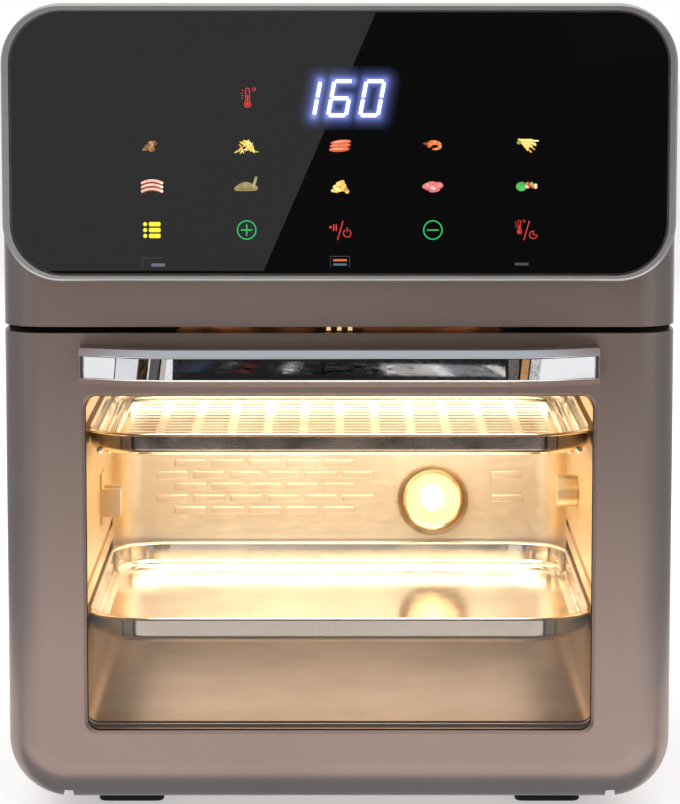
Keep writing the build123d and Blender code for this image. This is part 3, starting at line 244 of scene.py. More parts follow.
def grainy(name, dark, light, metallic, rough, cloud, grain, depth):
    # a finish with slow changes of colour and gloss, and a fine grain in its surface
    made = Finish(name, metallic)
    clouds = made.noise(cloud, 4.0)
    fine = made.noise(grain, 2.0)
    made.paint(made.blend(made.spread(clouds, 0, 1), dark, light))
    made.polish(made.spread(fine, *rough))
    made.relief(fine, depth)
    return made.material


def brushed(name, dark, light, along, rough):
    # rolled or brushed metal: fine lines that run along one axis
    scale = [1400] * 3
    scale["xyz".index(along)] = 18
    made = Finish(name, 1.0)
    streaks = made.noise(scale, 3.0)
    clouds = made.noise(14, 3.0)
    made.paint(made.blend(made.spread(clouds, 0, 1), dark, light))
    made.polish(made.spread(streaks, *rough))
    made.relief(streaks, 0.000012)
    return made.material


def banded(name, first, second, pitch, axis="Z", metallic=0.0, rough=(0.3, 0.5)):
    # fine parallel ridges, such as wire turns or stacked sheets
    made = Finish(name, metallic)
    wave = made.node("ShaderNodeTexWave", wave_type="BANDS", bands_direction=axis)
    wave.inputs["Scale"].default_value = 1.0
    wave.inputs["Distortion"].default_value = 0.4
    ripple = 0.31416 / pitch  # a wave of scale 1 repeats every 0.31416 units
    made.link(made.stretched(ripple), wave.inputs["Vector"])
    made.paint(made.blend(wave.outputs["Fac"], first, second))
    made.polish(made.spread(made.noise(300), *rough))
    made.relief(wave.outputs["Fac"], 0.0001)
    return made.material


paintLook = {
    "deep": colour(150, 130, 122),
    "bright": colour(166, 146, 137),
    "metallic": 0.88,
    "gloss": (0.31, 0.39),
}


def makePaint(name, secondToneAndSheen=None, whereToneAndSheen=None):
    # metallic taupe paint: soft sheen, tiny flakes and a faint orange-peel surface
    # an optional second colour, with a mask that gives where it lies: a real lighter tone on the fascia's
    # rim, and a painted highlight on the top of the handle
    made = Finish(name, paintLook["metallic"])
    flakes = made.node("ShaderNodeTexVoronoi")
    flakes.inputs["Scale"].default_value = 1.0
    made.link(made.stretched(1500), flakes.inputs["Vector"])
    clouds = made.noise(9, 2.0)
    fleck = made.spread(flakes.outputs["Distance"], 0.35, 0.65, 0.1, 0.7)
    base = made.blend(made.spread(clouds, 0, 1), paintLook["deep"], paintLook["bright"])
    base = made.blend(fleck, base, paintLook["bright"])
    if whereToneAndSheen:
        base = made.blend(whereToneAndSheen(made), base, secondToneAndSheen)
    made.paint(base)
    made.polish(made.spread(flakes.outputs["Distance"], *paintLook["gloss"], 0.1, 0.7))
    peel = made.relief(made.noise(380, 2.0), 0.000012)
    made.relief(flakes.outputs["Distance"], 0.000006, peel)
    return made.material


def proudOfFace(made):
    # 1 on the rim that stands in front of the head's face
    return made.spread(made.parts(made.place)["Y"], 1, 0, -0.1394, -0.1384)


def paintedTopSheen(made):
    # 1 where the surface looks upwards near the handle's front edge, and less towards the door: there a
    # painted grey-blue highlight stands in for the sky's reflection
    return made.combine("MULTIPLY", made.spread(made.facing()["Z"], 0, 1, 0.15, 0.6),
                        made.spread(made.parts(made.place)["Y"], 1, 0, -0.159, -0.148))


def makeWallSteel(name):
    # satin steel of the cavity: a rolled grain, and painted warm light that turns the side walls and the rear
    # corners straw-coloured
    made = Finish(name, 0.85)
    clouds = made.noise(22, 4.0)
    grain = made.noise((260, 260, 700), 2.0)
    base = made.blend(made.spread(clouds, 0, 1), colour(198, 187, 172), colour(216, 206, 192))
    # painted warm light: the side walls and the rear corners are given a warmer colour than the back wall
    outwards = made.combine("ABSOLUTE", made.parts(made.place)["X"])
    paintedWarmSides = made.spread(outwards, 0, 1, 0.1085, 0.1175)
    made.paint(made.blend(paintedWarmSides, base, colour(206, 176, 132)))
    made.polish(made.spread(grain, 0.34, 0.46))
    made.relief(grain, 0.00001)
    return made.material


def makeTraySteel(name):
    # bright sheet with a soft cloudy gloss, and painted shade that darkens the outsides of the front walls
    made = Finish(name, 1.0)
    clouds = made.noise(24, 4.0)
    waves = made.noise(50, 2.0)
    base = made.blend(made.spread(clouds, 0, 1), colour(212, 206, 197), colour(230, 225, 216))
    # painted shade: the outsides of the front walls stand in shadow, so they are painted darker
    paintedFrontShade = made.combine("MULTIPLY", made.spread(made.facing()["Y"], 1, 0, -0.7, -0.4),
                           made.spread(made.parts(made.place)["Y"], 1, 0, -0.1055, -0.09))
    made.paint(made.blend(paintedFrontShade, base, colour(170, 150, 136)))
    made.polish(made.spread(waves, 0.1, 0.16))
    made.relief(waves, 0.000005)
    return made.material


print("finishes")
cavitySteel = makeWallSteel("cavitySteel")
paint = makePaint("taupePaint")
fasciaPaint = makePaint("fasciaPaint", colour(200, 197, 196), proudOfFace)
# the handle's paint carries a painted light grey-blue highlight on its upward-facing top
handlePaintAndSheen = makePaint("handlePaintAndSheen", colour(184, 188, 196), paintedTopSheen)
chrome = grainy("brightChrome", colour(226, 227, 230), colour(238, 238, 240), 1.0, (0.02, 0.05),
                60, 500, 0.0000004)
traySteel = makeTraySteel("traySteel")
brightSteel = brushed("brightSteel", colour(200, 198, 194), colour(220, 218, 214), "x", (0.22, 0.34))
darkSteel = grainy("darkSteel", colour(58, 56, 55), colour(74, 72, 70), 0.6, (0.4, 0.55), 25, 700, 0.00002)
zincSteel = grainy("zincSteel", colour(168, 170, 172), colour(196, 198, 200), 1.0, (0.3, 0.5),
                   120, 420, 0.000015)
taupeSteel = grainy("taupeSteel", colour(204, 186, 176), colour(218, 200, 190), 0.75, (0.38, 0.5),
                    20, 800, 0.00001)
heaterSheath = grainy("heaterSheath", colour(96, 88, 84), colour(138, 122, 110), 0.9, (0.4, 0.6),
                      60, 900, 0.00003)
fanAluminium = brushed("fanAluminium", colour(186, 188, 190), colour(208, 210, 212), "z", (0.28, 0.4))
blackMoulding = grainy("blackMoulding", colour(22, 22, 23), colour(32, 32, 33), 0.0, (0.45, 0.6),
                       40, 1600, 0.00004)
blackRubber = grainy("blackRubber", colour(9, 9, 9), colour(16, 15, 15), 0.0, (0.65, 0.8),
                     50, 1100, 0.00005)
paleMoulding = grainy("paleMoulding", colour(222, 218, 206), colour(234, 231, 222), 0.0, (0.4, 0.5),
                      40, 1500, 0.00002)
cableGrey = banded("cableGrey", colour(130, 132, 136), colour(160, 162, 166), 0.0013, "X")
ceramic = grainy("ceramicWhite", colour(226, 222, 212), colour(238, 235, 228), 0.0, (0.3, 0.45),
                 70, 900, 0.00003)
lamination = banded("lamination", colour(92, 92, 96), colour(140, 140, 146), 0.0006, "Z", 0.9, (0.35, 0.5))
copperWinding = banded("copperWinding", colour(150, 74, 40), colour(206, 122, 74), 0.0007, "Z", 0.8,
                       (0.25, 0.4))


def makeBoard(name, first, second, track):
    # circuit board with paler tracks and round solder spots
    made = Finish(name)
    tracks = made.node("ShaderNodeTexBrick", offset=0.37, squash=0.6, squash_frequency=3)
    tracks.inputs["Scale"].default_value = 1.0
    tracks.inputs["Mortar Size"].default_value = 0.035
    tracks.inputs["Color1"].default_value = first
    tracks.inputs["Color2"].default_value = second
    tracks.inputs["Mortar"].default_value = track
    made.link(made.stretched(120, (quarter, 0, 0)), tracks.inputs["Vector"])
    spots = made.node("ShaderNodeTexVoronoi")
    spots.inputs["Scale"].default_value = 1.0
    made.link(made.stretched(210), spots.inputs["Vector"])
    solder = made.spread(spots.outputs["Distance"], 1, 0, 0.16, 0.2)
    made.paint(made.blend(solder, tracks.outputs["Color"], colour(190, 192, 196)))
    made.polish(made.spread(solder, 0.35, 0.25, 0, 1))
    made.relief(solder, 0.00015)
    return made.material


def makePane(name, tint, share):
    # clear glass: mostly see-through, with a reflection that grows towards the edges of view
    made = Finish(name, 1.0, Base_Color=tint)
    smudge = made.noise(16, 3.0)
    made.polish(made.spread(smudge, 0.015, 0.05))
    clear = made.node("ShaderNodeBsdfTransparent")
    mixed = made.node("ShaderNodeMixShader")
    fresnel = made.node("ShaderNodeFresnel")
    fresnel.inputs["IOR"].default_value = 1.45
    made.link(made.combine("MULTIPLY", fresnel.outputs["Fac"], share), mixed.inputs[0])
    made.link(clear.outputs["BSDF"], mixed.inputs[1])
    made.link(made.shader.outputs["BSDF"], mixed.inputs[2])
    made.link(mixed.outputs["Shader"], made.tree.nodes["Material Output"].inputs["Surface"])
    return made.material


board = makeBoard("circuitBoard", colour(24, 92, 56), colour(20, 84, 50), colour(58, 140, 92))
blackBoard = makeBoard("blackBoard", colour(12, 12, 13), colour(16, 16, 17), colour(30, 30, 32))
pane = makePane("clearPane", colour(235, 240, 238), 0.45)
lampCover = makePane("lampCover", colour(255, 236, 205), 0.9)
panelGlass = grainy("panelGlass", colour(5, 5, 6), colour(8, 8, 9), 0.0, (0.003, 0.006), 6, 40, 0.0)


def makeGlowing(name, inner, outer, strength):
    # a hot or lit body whose light varies a little over its surface
    made = Finish(name, Roughness=0.4)
    shade = made.spread(made.noise(90, 2.0), 0, 1)
    shown = made.blend(shade, inner, outer)
    made.paint(shown)
    made.glow(shown, strength)
    return made.material


bulbGlow = makeGlowing("bulbGlow", colour(255, 226, 170), colour(255, 205, 130), 3.0)


def makeTongueSteel(name):
    # dark tab whose three ribs carry a painted warm glow, standing in for the light behind the seam that they
    # catch
    made = Finish(name, 0.6, Roughness=0.4)
    ribs = made.spread(made.parts(made.place)["Z"], 0, 1, 0.2296, 0.2298)
    streaks = made.spread(made.noise(700, 2.0), 0, 1)
    # the colours of the painted glow on the ribs
    lit = made.blend(streaks, colour(255, 226, 168), colour(238, 178, 104))
    made.paint(made.blend(streaks, colour(40, 32, 28), colour(54, 44, 38)))
    made.glow(made.blend(ribs, (0, 0, 0, 1), lit), 0.95)
    return made.material


tongueSteelAndGlow = makeTongueSteel("tongueSteelAndGlow")

finishOf = {
    "cabinet_shell": paint, "head_cover": paint, "control_fascia": fasciaPaint, "door_frame": paint,
    "handle_bar": handlePaintAndSheen, "handle_strip": chrome, "control_glass": panelGlass,
    "door_outer_glass": pane, "door_inner_glass": pane, "lamp_cover": lampCover, "lamp_bulb": bulbGlow,
    "cavity_liner": cavitySteel, "fan_guard": brightSteel, "spit_rest": cavitySteel,
    "spit_drive": cavitySteel, "temperature_sensor": cavitySteel, "upper_tray": traySteel,
    "lower_tray": traySteel, "door_inner_frame": taupeSteel, "front_frame": darkSteel,
    "deck_plate": darkSteel, "rear_cover": darkSteel, "heating_element": heaterSheath,
    "convection_fan": fanAluminium, "rotor_core": lamination, "motor_stator": lamination,
    "door_magnets": lamination, "motor_coil": copperWinding, "cooling_fan": blackMoulding,
    "exhaust_grille": blackMoulding, "cord_gland": blackMoulding, "feet": blackRubber,
    "door_switch": blackMoulding, "display_module": blackMoulding, "terminal_block": paleMoulding,
    "switch_plunger": paleMoulding, "light_guide": paleMoulding, "door_seal": blackRubber,
    "window_gasket": blackRubber, "seam_bumpers": blackRubber, "rear_spacers": blackRubber,
    "latch_tongue": tongueSteelAndGlow, "touch_board": blackBoard, "power_board": board,
    "ribbon_cable": cableGrey, "lamp_socket": ceramic,
}
for name, node in nodes.items():
    finish = finishOf.get(name, zincSteel)
    if not node.data.materials:
        node.data.materials.append(finish)
    for slotHere in node.material_slots:
        slotHere.link = "OBJECT"
        slotHere.material = finish
print("finished nodes:", len(nodes))


# Studio

studio = {
    "lens": 161.03, "cameraPlace": (0.0003, -1.788, 0.41425), "dip": 7.5,
    "sky": 0.5, "floorShade": 0.8, "floorGlow": 0.45,
}
clearSelection()
bpy.ops.object.camera_add(location=studio["cameraPlace"], rotation=(math.radians(90 - studio["dip"]), 0, 0))
camera = bpy.context.active_object
camera.data.lens = studio["lens"]
camera.data.sensor_width = 36
camera.data.clip_end = 60
bpy.context.scene.camera = camera
bpy.context.scene.view_settings.view_transform = "Standard"


def seenPlainly(tree):
    # 1 for rays from the camera, from mirrors and through glass, else 0
    path = tree.nodes.new("ShaderNodeLightPath")
    seen = path.outputs["Is Camera Ray"]
    for ray in ("Is Glossy Ray", "Is Transmission Ray"):
        larger = tree.nodes.new("ShaderNodeMath")
        larger.operation = "MAXIMUM"
        tree.links.new(seen, larger.inputs[0])
        tree.links.new(path.outputs[ray], larger.inputs[1])
        seen = larger.outputs[0]
    return seen


world = bpy.data.worlds.new("studioWorld")
world.use_nodes = True
bpy.context.scene.world = world
sky = world.node_tree
skyStrength = sky.nodes.new("ShaderNodeMapRange")
skyStrength.inputs["To Min"].default_value = studio["sky"]
skyStrength.inputs["To Max"].default_value = 1.0
sky.links.new(seenPlainly(sky), skyStrength.inputs["Value"])
background = sky.nodes["Background"]
background.inputs["Color"].default_value = (1, 1, 1, 1)
sky.links.new(skyStrength.outputs["Result"], background.inputs["Strength"])

floor = newSheet(16, 16, 0, 0, 0)
openEdit(floor, everything=True)
bpy.ops.mesh.subdivide(number_cuts=3)
closeEdit()
floor.name = "studioFloor"
floorFinish = Finish("studioFloor", Roughness=0.9, Specular_IOR_Level=0.0, Emission_Color=(1, 1, 1, 1))
shade = studio["floorShade"]
floorFinish.paint(floorFinish.blend(floorFinish.spread(floorFinish.noise(3), 0, 1),
                                    (shade, shade, shade, 1), (shade + 0.02, shade + 0.02, shade + 0.02, 1)))
floorGlow = floorFinish.combine("MULTIPLY", seenPlainly(floorFinish.tree), studio["floorGlow"])
floorFinish.link(floorGlow, floorFinish.shader.inputs["Emission Strength"])
floor.data.materials.append(floorFinish.material)


def addCard(name, corners, strength, tint=(1, 1, 1), mottle=None):
    # a card in the studio that only shows in reflections
    # mottle gives the scale, the start and the end of patches that fade the card to dark
    card = addPrimitive("plane", size=1)
    card.name = name
    for vertex, place in zip((0, 1, 3, 2), corners):
        card.data.vertices[vertex].co = place
    made = Finish(name, Roughness=1.0, Base_Color=(0, 0, 0, 1), Specular_IOR_Level=0.0,
                  Emission_Color=(*tint, 1), Emission_Strength=strength)
    if mottle:
        scale, start, end = mottle
        patches = made.spread(made.noise(scale, 4.0), 0, 1, start, end)
        made.glow(made.blend(patches, (0, 0, 0, 1), (*tint, 1)), strength)
    card.data.materials.append(made.material)
    card.visible_camera = False
    card.visible_diffuse = False
    card.visible_shadow = False
    card.visible_transmission = False


def layCard(name, left, right, near, far, height, strength, tint=(1, 1, 1), mottle=None):
    # a card that lies flat
    addCard(name, [(left, near, height), (right, near, height), (right, far, height), (left, far, height)],
            strength, tint, mottle)


# the dark cloth on the floor and the dark wall behind the camera let the paint fall from bright to dark
layCard("darkCloth", -3, 3, -0.92, -2.7, 0.003, 0.016)
addCard("darkWall", [(-3, -2.75, 0), (3, -2.75, 0), (3, -2.75, 3.4), (-3, -2.75, 3.4)], 0.05)
# the pale board whose slanted edge shows in the panel
addCard("paleBoard", [(-1.3, -2.5, 0.035), (-0.085, -2.5, 0.035), (0.05, -2.5, 0.345),
                      (-1.3, -2.5, 0.345)], 0.7)
# grey-blue walls and cloths at both sides, and a grey strip under the front edge, turn the paint's edges grey
coolGrey = (0.80, 0.96, 1.12)
for side in (-1, 1):
    addCard("greyWall", [(side * 1.9, -2.7, 0), (side * 1.9, 2.4, 0), (side * 1.9, 2.4, 2.6),
                         (side * 1.9, -2.7, 2.6)], 0.38, coolGrey)
    layCard("greyCloth", side * 0.42, side * 1.9, -1.0, 1.2, 0.002, 0.36, coolGrey)
layCard("greyStrip", -0.5, 0.5, -0.118, -0.15, 0.002, 0.42, coolGrey)

# what lies about in the studio shows in the handle's bright strip
# in front of its middle: x from and to, strength, tint and mottling
clutter = [
    (-0.146, -0.128, 0.05, (0.7, 0.85, 1.4), None),
    (-0.112, -0.105, 0.3, (1, 1, 1), ((60, 12, 12), 0.4, 0.7)),
    (-0.095, -0.082, 0.25, (1.0, 0.25, 0.2), ((120, 12, 12), 0.5, 0.62)),
    (-0.052, -0.042, 1.1, (1, 0.96, 0.96), ((230, 16, 16), 0.48, 0.58)),
    (-0.03, 0.042, 0.7, (1, 1, 1), ((90, 60, 60), 0.6, 0.72)),
    (0.042, 0.053, 1.2, (1, 0.95, 0.95), ((180, 14, 14), 0.45, 0.56)),
    (0.053, 0.09, 0.62, (1.0, 0.94, 0.86), ((110, 40, 40), 0.34, 0.52)),
    (0.09, 0.103, 0.85, (1, 1, 1), None),
    (0.103, 0.143, 0.45, (0.94, 0.98, 1.0), ((120, 30, 30), 0.38, 0.62)),
    (0.1485, 0.163, 0.9, (1.0, 0.91, 0.88), None),
]
for low, high, strength, tint, mottle in clutter:
    layCard("clutter", low, high, -1.72, -2.16, 0.005, strength, tint, mottle)
# fanned out at its ends: side, angles from and to, strength, tint and mottling
fans = [
    (-1, 2.9, 7.6, 1.0, (1, 1, 1), ((90, 20, 20), 0.3, 0.44)),
    (-1, 7.8, 10.9, 0.6, (1.0, 0.9, 0.78), None),
    (-1, 12.2, 17.9, 0.22, (1.0, 0.88, 0.8), ((80, 3, 3), 0.35, 0.6)),
    (-1, 18.4, 19.3, 1.0, (1, 1, 1), None),
    (-1, 19.3, 26.2, 0.2, (1.0, 0.6, 0.3), ((70, 2, 2), 0.48, 0.62)),
    (-1, 26.4, 41.6, 0.86, (0.97, 0.97, 1.0), None),
    (-1, 42.4, 72, 1.0, (1, 1, 1), None),
    (1, 4.6, 10.9, 0.32, (1.0, 0.88, 0.8), ((60, 30, 30), 0.4, 0.6)),
    (1, 12.9, 17.9, 0.62, (1.2, 0.62, 0.26), ((50, 20, 20), 0.3, 0.55)),
    (1, 19.0, 26.0, 1.0, (1, 0.98, 0.96), ((60, 24, 24), 0.44, 0.52)),
    (1, 26.0, 72, 1.0, (1, 1, 1), None),
]
for side, first, last, strength, tint, mottle in fans:
    corners = []
    for angle, reach in ((first, 1.3), (last, 1.3), (last, 2.6), (first, 2.6)):
        across, away = math.sin(math.radians(angle)), math.cos(math.radians(angle))
        corners.append((side * (0.09 + reach * across), -0.157 - reach * away, 0.006))
    addCard("fan", corners, strength, tint, mottle)


def addLamp(name, place, aim, width, height, power, tint=(1, 1, 1), inMirrors=False):
    clearSelection()
    bpy.ops.object.light_add(type="AREA", location=place)
    lamp = bpy.context.active_object
    lamp.name = name
    lamp.data.shape = "RECTANGLE"
    lamp.data.size = width
    lamp.data.size_y = height
    lamp.data.energy = power
    lamp.data.color = tint
    lamp.rotation_euler = (Vector(aim) - Vector(place)).to_track_quat("-Z", "Y").to_euler()
    lamp.visible_camera = False
    lamp.visible_glossy = inMirrors


addLamp("keyLamp", (-1.2, -1.5, 1.6), (0, 0, 0.2), 1.5, 1.5, 24)
addLamp("fillLamp", (1.5, -1.2, 1.1), (0, 0, 0.2), 1.4, 1.4, 13)
addLamp("backLamp", (0.3, 1.6, 1.4), (0, 0, 0.2), 1.5, 1.2, 12)
addLamp("ceilingGlow", (0, 0.0, 0.2165), (0, 0, 0), 0.2, 0.19, 0.55, (1.0, 0.83, 0.6), True)
addLamp("middleGlow", (0, 0.0, 0.164), (0, 0, 0), 0.2, 0.19, 0.7, (1.0, 0.82, 0.58), True)
addLamp("lowGlow", (0, 0.0, 0.0735), (0, 0, 0), 0.2, 0.19, 0.1, (1.0, 0.73, 0.54), True)
print("studio ready")


# Handle strip

stripLook = {"growth": (0.9935, 1, 1.14), "middle": (0, -0.15, 0.2151), "edge": 0.95}


def makeStrip():
    # the bright strip: a little taller than its seat, with rounded edges that catch the light
    clearSelection()
    source = nodes["handle_strip"]
    strip = source.copy()
    strip.data = source.data.copy()
    bpy.context.scene.collection.objects.link(strip)
    place = source.matrix_world.copy()
    strip.parent = None
    strip.matrix_world = place
    applyPlace(strip)
    openEdit(strip, "VERT", everything=True)
    bpy.ops.mesh.remove_doubles(threshold=0.00001)
    bpy.ops.transform.resize(value=stripLook["growth"], center_override=stripLook["middle"])
    bpy.ops.mesh.select_mode(type="EDGE")
    pick(strip, "edges", lambda edge: len(edge.link_faces) == 2
         and edge.calc_face_angle(0) > math.radians(50)
         and any(face.normal.y < -0.6 for face in edge.link_faces))
    bpy.ops.mesh.bevel(offset=stripLook["edge"] * mm, segments=4, profile=0.5, clamp_overlap=True)
    closeEdit()
    bpy.ops.object.shade_smooth_by_angle(angle=math.radians(30))
    useModifier(strip, "WEIGHTED_NORMAL", keep_sharp=True, weight=100)
    strip = settle(strip, "handleStripBright", "door", chrome, 30)
    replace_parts(strip, "handle_strip")


makeStrip()


# Trays

trayLook = {
    "rimHalf": 124.0, "front": -106.8, "back": 113.2, "corner": 34.0, "lowerRim": 89.0, "upperRim": 177.4,
    "sheet": 0.9, "columns": 12, "columnPitch": 17.75, "slotBand": 4.2, "rows": 17, "rowPitch": 10.6,
    "slotWidth": 3.4, "firstRow": -82.0,
    "beads": ((110.2, 1.7), (114.6, 1.5)),  # how far from the middle, and half the width
    "upperRings": ((3.4, 0.0), (1.0, 0.12), (0.8, 0.5), (0.12, 7.2), (0.6, 0.9), (1.0, 0.8), (1.6, 0.5),
                   (2.4, 0.08)),
    "lowerRings": ((3.4, 0.0), (1.0, 0.12), (0.8, 0.5), (0.15, 8.4), (0.8, 1.2), (1.3, 1.1), (2.3, 0.7),
                   (4.0, 0.08)),
}


def pressPan(rim, rings):
    # a rounded sheet whose middle is inset and sunk ring by ring, as a press does
    look = trayLook
    length = (look["back"] - look["front"]) * mm
    pan = newSheet(2 * look["rimHalf"] * mm, length, 0, (look["back"] + look["front"]) / 2 * mm, rim * mm)
    openEdit(pan, "VERT", everything=True)
    bpy.ops.mesh.bevel(affect="VERTICES", offset=look["corner"] * mm, offset_type="OFFSET", segments=12,
                       profile=0.5)
    bpy.ops.mesh.select_mode(type="FACE")
    bpy.ops.mesh.select_all(action="SELECT")
    for inward, down in rings:
        bpy.ops.mesh.inset(thickness=inward * mm, depth=-down * mm)
    closeEdit()
    return pan


def curlRim(pan, rim):
    # the outer edge turns down and in
    openEdit(pan, "EDGE")
    pick(pan, "edges", lambda edge: edge.is_boundary and abs(edgeMiddle(edge).z - rim * mm) < 1e-5)
    middle = (0, (trayLook["back"] + trayLook["front"]) / 2 * mm, rim * mm)
    for down, shrink in ((0.55, 1.0), (0.5, 0.996)):
        bpy.ops.mesh.extrude_region_move(TRANSFORM_OT_translate={"value": (0, 0, -down * mm)})
        bpy.ops.transform.resize(value=(shrink, shrink, 1), center_override=middle)
    closeEdit()


def thicken(pan, thickness, smooth):
    useModifier(pan, "BEVEL", width=smooth * mm, segments=3, limit_method="ANGLE",
                angle_limit=math.radians(14))
    useModifier(pan, "SOLIDIFY", thickness=thickness * mm, offset=-1, use_even_offset=True)
    useModifier(pan, "WEIGHTED_NORMAL", keep_sharp=True)


def makeUpperTray():
    look = trayLook
    pan = pressPan(look["upperRim"], look["upperRings"])
    openEdit(pan)
    pick(pan, "faces",
         lambda face: len(face.verts) > 12 and faceMiddle(face).z < (look["upperRim"] - 5) * mm)
    bpy.ops.mesh.delete(type="FACE")
    closeEdit()
    floorHeight = min(vertex.co.z for vertex in pan.data.vertices)
    curlRim(pan, look["upperRim"])

    # one cell of the floor with its cross slot, then the whole grid of them
    left = -look["columns"] * look["columnPitch"] / 2
    x = (left + look["columnPitch"] / 2) * mm
    y = look["firstRow"] * mm
    cell = newSheet(look["columnPitch"] * mm, look["rowPitch"] * mm, x, y, floorHeight)
    openEdit(cell, everything=True)
    bpy.ops.mesh.inset(thickness=look["slotBand"] / 2 * mm, depth=0)
    before = look["rowPitch"] - look["slotBand"]
    bpy.ops.transform.resize(value=(1, look["slotWidth"] / before, 1), center_override=(x, y, floorHeight))
    bpy.ops.mesh.select_mode(type="VERT")
    bpy.ops.mesh.bevel(affect="VERTICES", offset=1.1 * mm, offset_type="OFFSET", segments=2, profile=0.5)
    bpy.ops.mesh.select_mode(type="FACE")
    pick(cell, "faces", lambda face: len(face.verts) == 12)
    bpy.ops.mesh.delete(type="FACE")
    closeEdit()
    for count, step in ((look["columns"], (look["columnPitch"] * mm, 0, 0)),
                        (look["rows"], (0, look["rowPitch"] * mm, 0))):
        useModifier(cell, "ARRAY", count=count, use_relative_offset=False, use_constant_offset=True,
                    constant_offset_displace=step, use_merge_vertices=True, merge_threshold=0.00001)
    tray = joinPieces([pan, cell])
    half = -left * mm
    yLow = (look["firstRow"] - look["rowPitch"] / 2) * mm
    yHigh = yLow + look["rows"] * look["rowPitch"] * mm
    openEdit(tray, "EDGE")

    def isOutside(middle):
        return abs(middle.x) > half - 1e-5 or not yLow + 1e-5 < middle.y < yHigh - 1e-5

    pick(tray, "edges", lambda edge: edge.is_boundary and abs(edgeMiddle(edge).z - floorHeight) < 1e-5
         and isOutside(edgeMiddle(edge)))
    bpy.ops.mesh.fill(use_beauty=True)
    bpy.ops.mesh.select_all(action="SELECT")
    bpy.ops.mesh.normals_make_consistent(inside=False)
    shape = bmesh.from_edit_mesh(tray.data)
    if sum(face.normal.z * face.calc_area() for face in shape.faces) < 0:
        bpy.ops.mesh.flip_normals()
    closeEdit()
    thicken(tray, look["sheet"], 0.7)

    # two raised beads run front to back on each side margin
    beads = []
    for side in (-1, 1):
        for away, halfWide in look["beads"]:
            bead = addPrimitive("cylinder", vertices=20, radius=halfWide * mm, depth=0.186,
                                rotation=(quarter, 0, 0),
                                location=(side * away * mm, 0.0032, floorHeight + 0.1 * mm))
            useModifier(bead, "BEVEL", width=halfWide * 0.8 * mm, segments=3, limit_method="ANGLE",
                        angle_limit=math.radians(40))
            beads.append(bead)
    tray = joinPieces([tray] + beads)
    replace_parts(settle(tray, "upperTraySlotted", "upper_pan", traySteel), "upper_tray")


def makeLowerTray():
    look = trayLook
    pan = pressPan(look["lowerRim"], look["lowerRings"])
    curlRim(pan, look["lowerRim"])
    thicken(pan, look["sheet"], 0.7)
    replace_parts(settle(pan, "lowerTrayPlain", "lower_pan", traySteel), "lower_tray")


makeUpperTray()
makeLowerTray()
print("trays pressed")


# Pressings in the cavity's walls, and the painted glow in the seam

cavityLook = {
    "half": 120.4, "backWall": 117.1, "low": 41.0, "high": 219.0, "cornerReach": 15.0, "flap": 4.0,
    "sheet": 0.5, "brickRows": 8, "rowPitch": 6.4, "lowestRow": 105.0, "brickPitch": 20.0,
    "brickSize": (16.5, 3.8), "brickRise": 0.2, "lampGap": (24, 76),
    "seamLow": (-76, -110.9, 229.5), "seamHigh": (76, -110.1, 231.4),
}


def makeRearCorners():
    # a coved strip down each rear corner: a flap, a quarter turn and another flap
    look = cavityLook
    strips = []
    for side in (-1, 1):
        x = side * look["half"] * mm
        y = (look["backWall"] - look["cornerReach"]) * mm
        strip = addPrimitive("plane", ((look["high"] - look["low"]) * mm, look["flap"] * mm, 1), size=1,
                             rotation=(0, quarter, 0),
                             location=(x, y - look["flap"] / 2 * mm, (look["low"] + look["high"]) / 2 * mm))
        openEdit(strip, "EDGE")
        pick(strip, "edges", lambda edge: abs(edgeMiddle(edge).y - y) < 1e-5)
        bpy.ops.mesh.spin(steps=10, angle=-quarter * side, axis=(0, 0, 1),
                          center=(x - side * look["cornerReach"] * mm, y, 0))
        bpy.ops.mesh.extrude_region_move(TRANSFORM_OT_translate={"value": (-side * look["flap"] * mm, 0, 0)})
        bpy.ops.mesh.select_all(action="SELECT")
        bpy.ops.mesh.remove_doubles(threshold=0.00001)
        bpy.ops.mesh.normals_make_consistent(inside=False)
        closeEdit()
        useModifier(strip, "SOLIDIFY", thickness=look["sheet"] * mm, offset=0)
        strips.append(strip)
    settle(joinPieces(strips), "rearCornerCoves", "cabinet", cavitySteel)


def makeWallPressings():
    # rows of long raised bricks on the back wall, every other row shifted by half a brick
    look = cavityLook
    bricks = []
    for row in range(look["brickRows"]):
        z = look["lowestRow"] + row * look["rowPitch"]
        shift = (row % 2) * look["brickPitch"] / 2
        for place in range(-5, 6):
            x = place * look["brickPitch"] + shift
            if abs(x) > 96 or look["lampGap"][0] - 10 < x < look["lampGap"][1] + 10 and z < 136:
                continue
            halfWide, halfTall = look["brickSize"][0] / 2, look["brickSize"][1] / 2
            brick = newBlock(((x - halfWide) * mm, (look["backWall"] - look["brickRise"]) * mm,
                              (z - halfTall) * mm),
                             ((x + halfWide) * mm, (look["backWall"] + 0.4) * mm, (z + halfTall) * mm))
            openEdit(brick)
            pick(brick, "faces", lambda face: face.normal.y < -0.9)
            bpy.ops.mesh.inset(thickness=0.9 * mm, depth=0.08 * mm)
            closeEdit()
            useModifier(brick, "BEVEL", width=0.8 * mm, segments=3, limit_method="ANGLE",
                        angle_limit=math.radians(40))
            bricks.append(brick)
    settle(joinPieces(bricks), "backWallPressings", "cabinet", cavitySteel)


def makeSeamLight():
    # a glowing strip whose painted glow stands in for the warm light of the heater that shows through the
    # seam over the door
    strip = newBlock([place * mm for place in cavityLook["seamLow"]],
                     [place * mm for place in cavityLook["seamHigh"]])
    useModifier(strip, "BEVEL", width=0.2 * mm, segments=2)
    made = Finish("seamGlow", Roughness=0.5)
    patches = made.spread(made.noise((60, 60, 900), 4.0), 0, 1, 0.4, 0.66)
    shown = made.blend(patches, colour(52, 30, 20), colour(214, 132, 76))
    made.paint(shown)
    made.glow(shown, 1.6)
    settle(strip, "seamGlow", "cabinet", made.material)


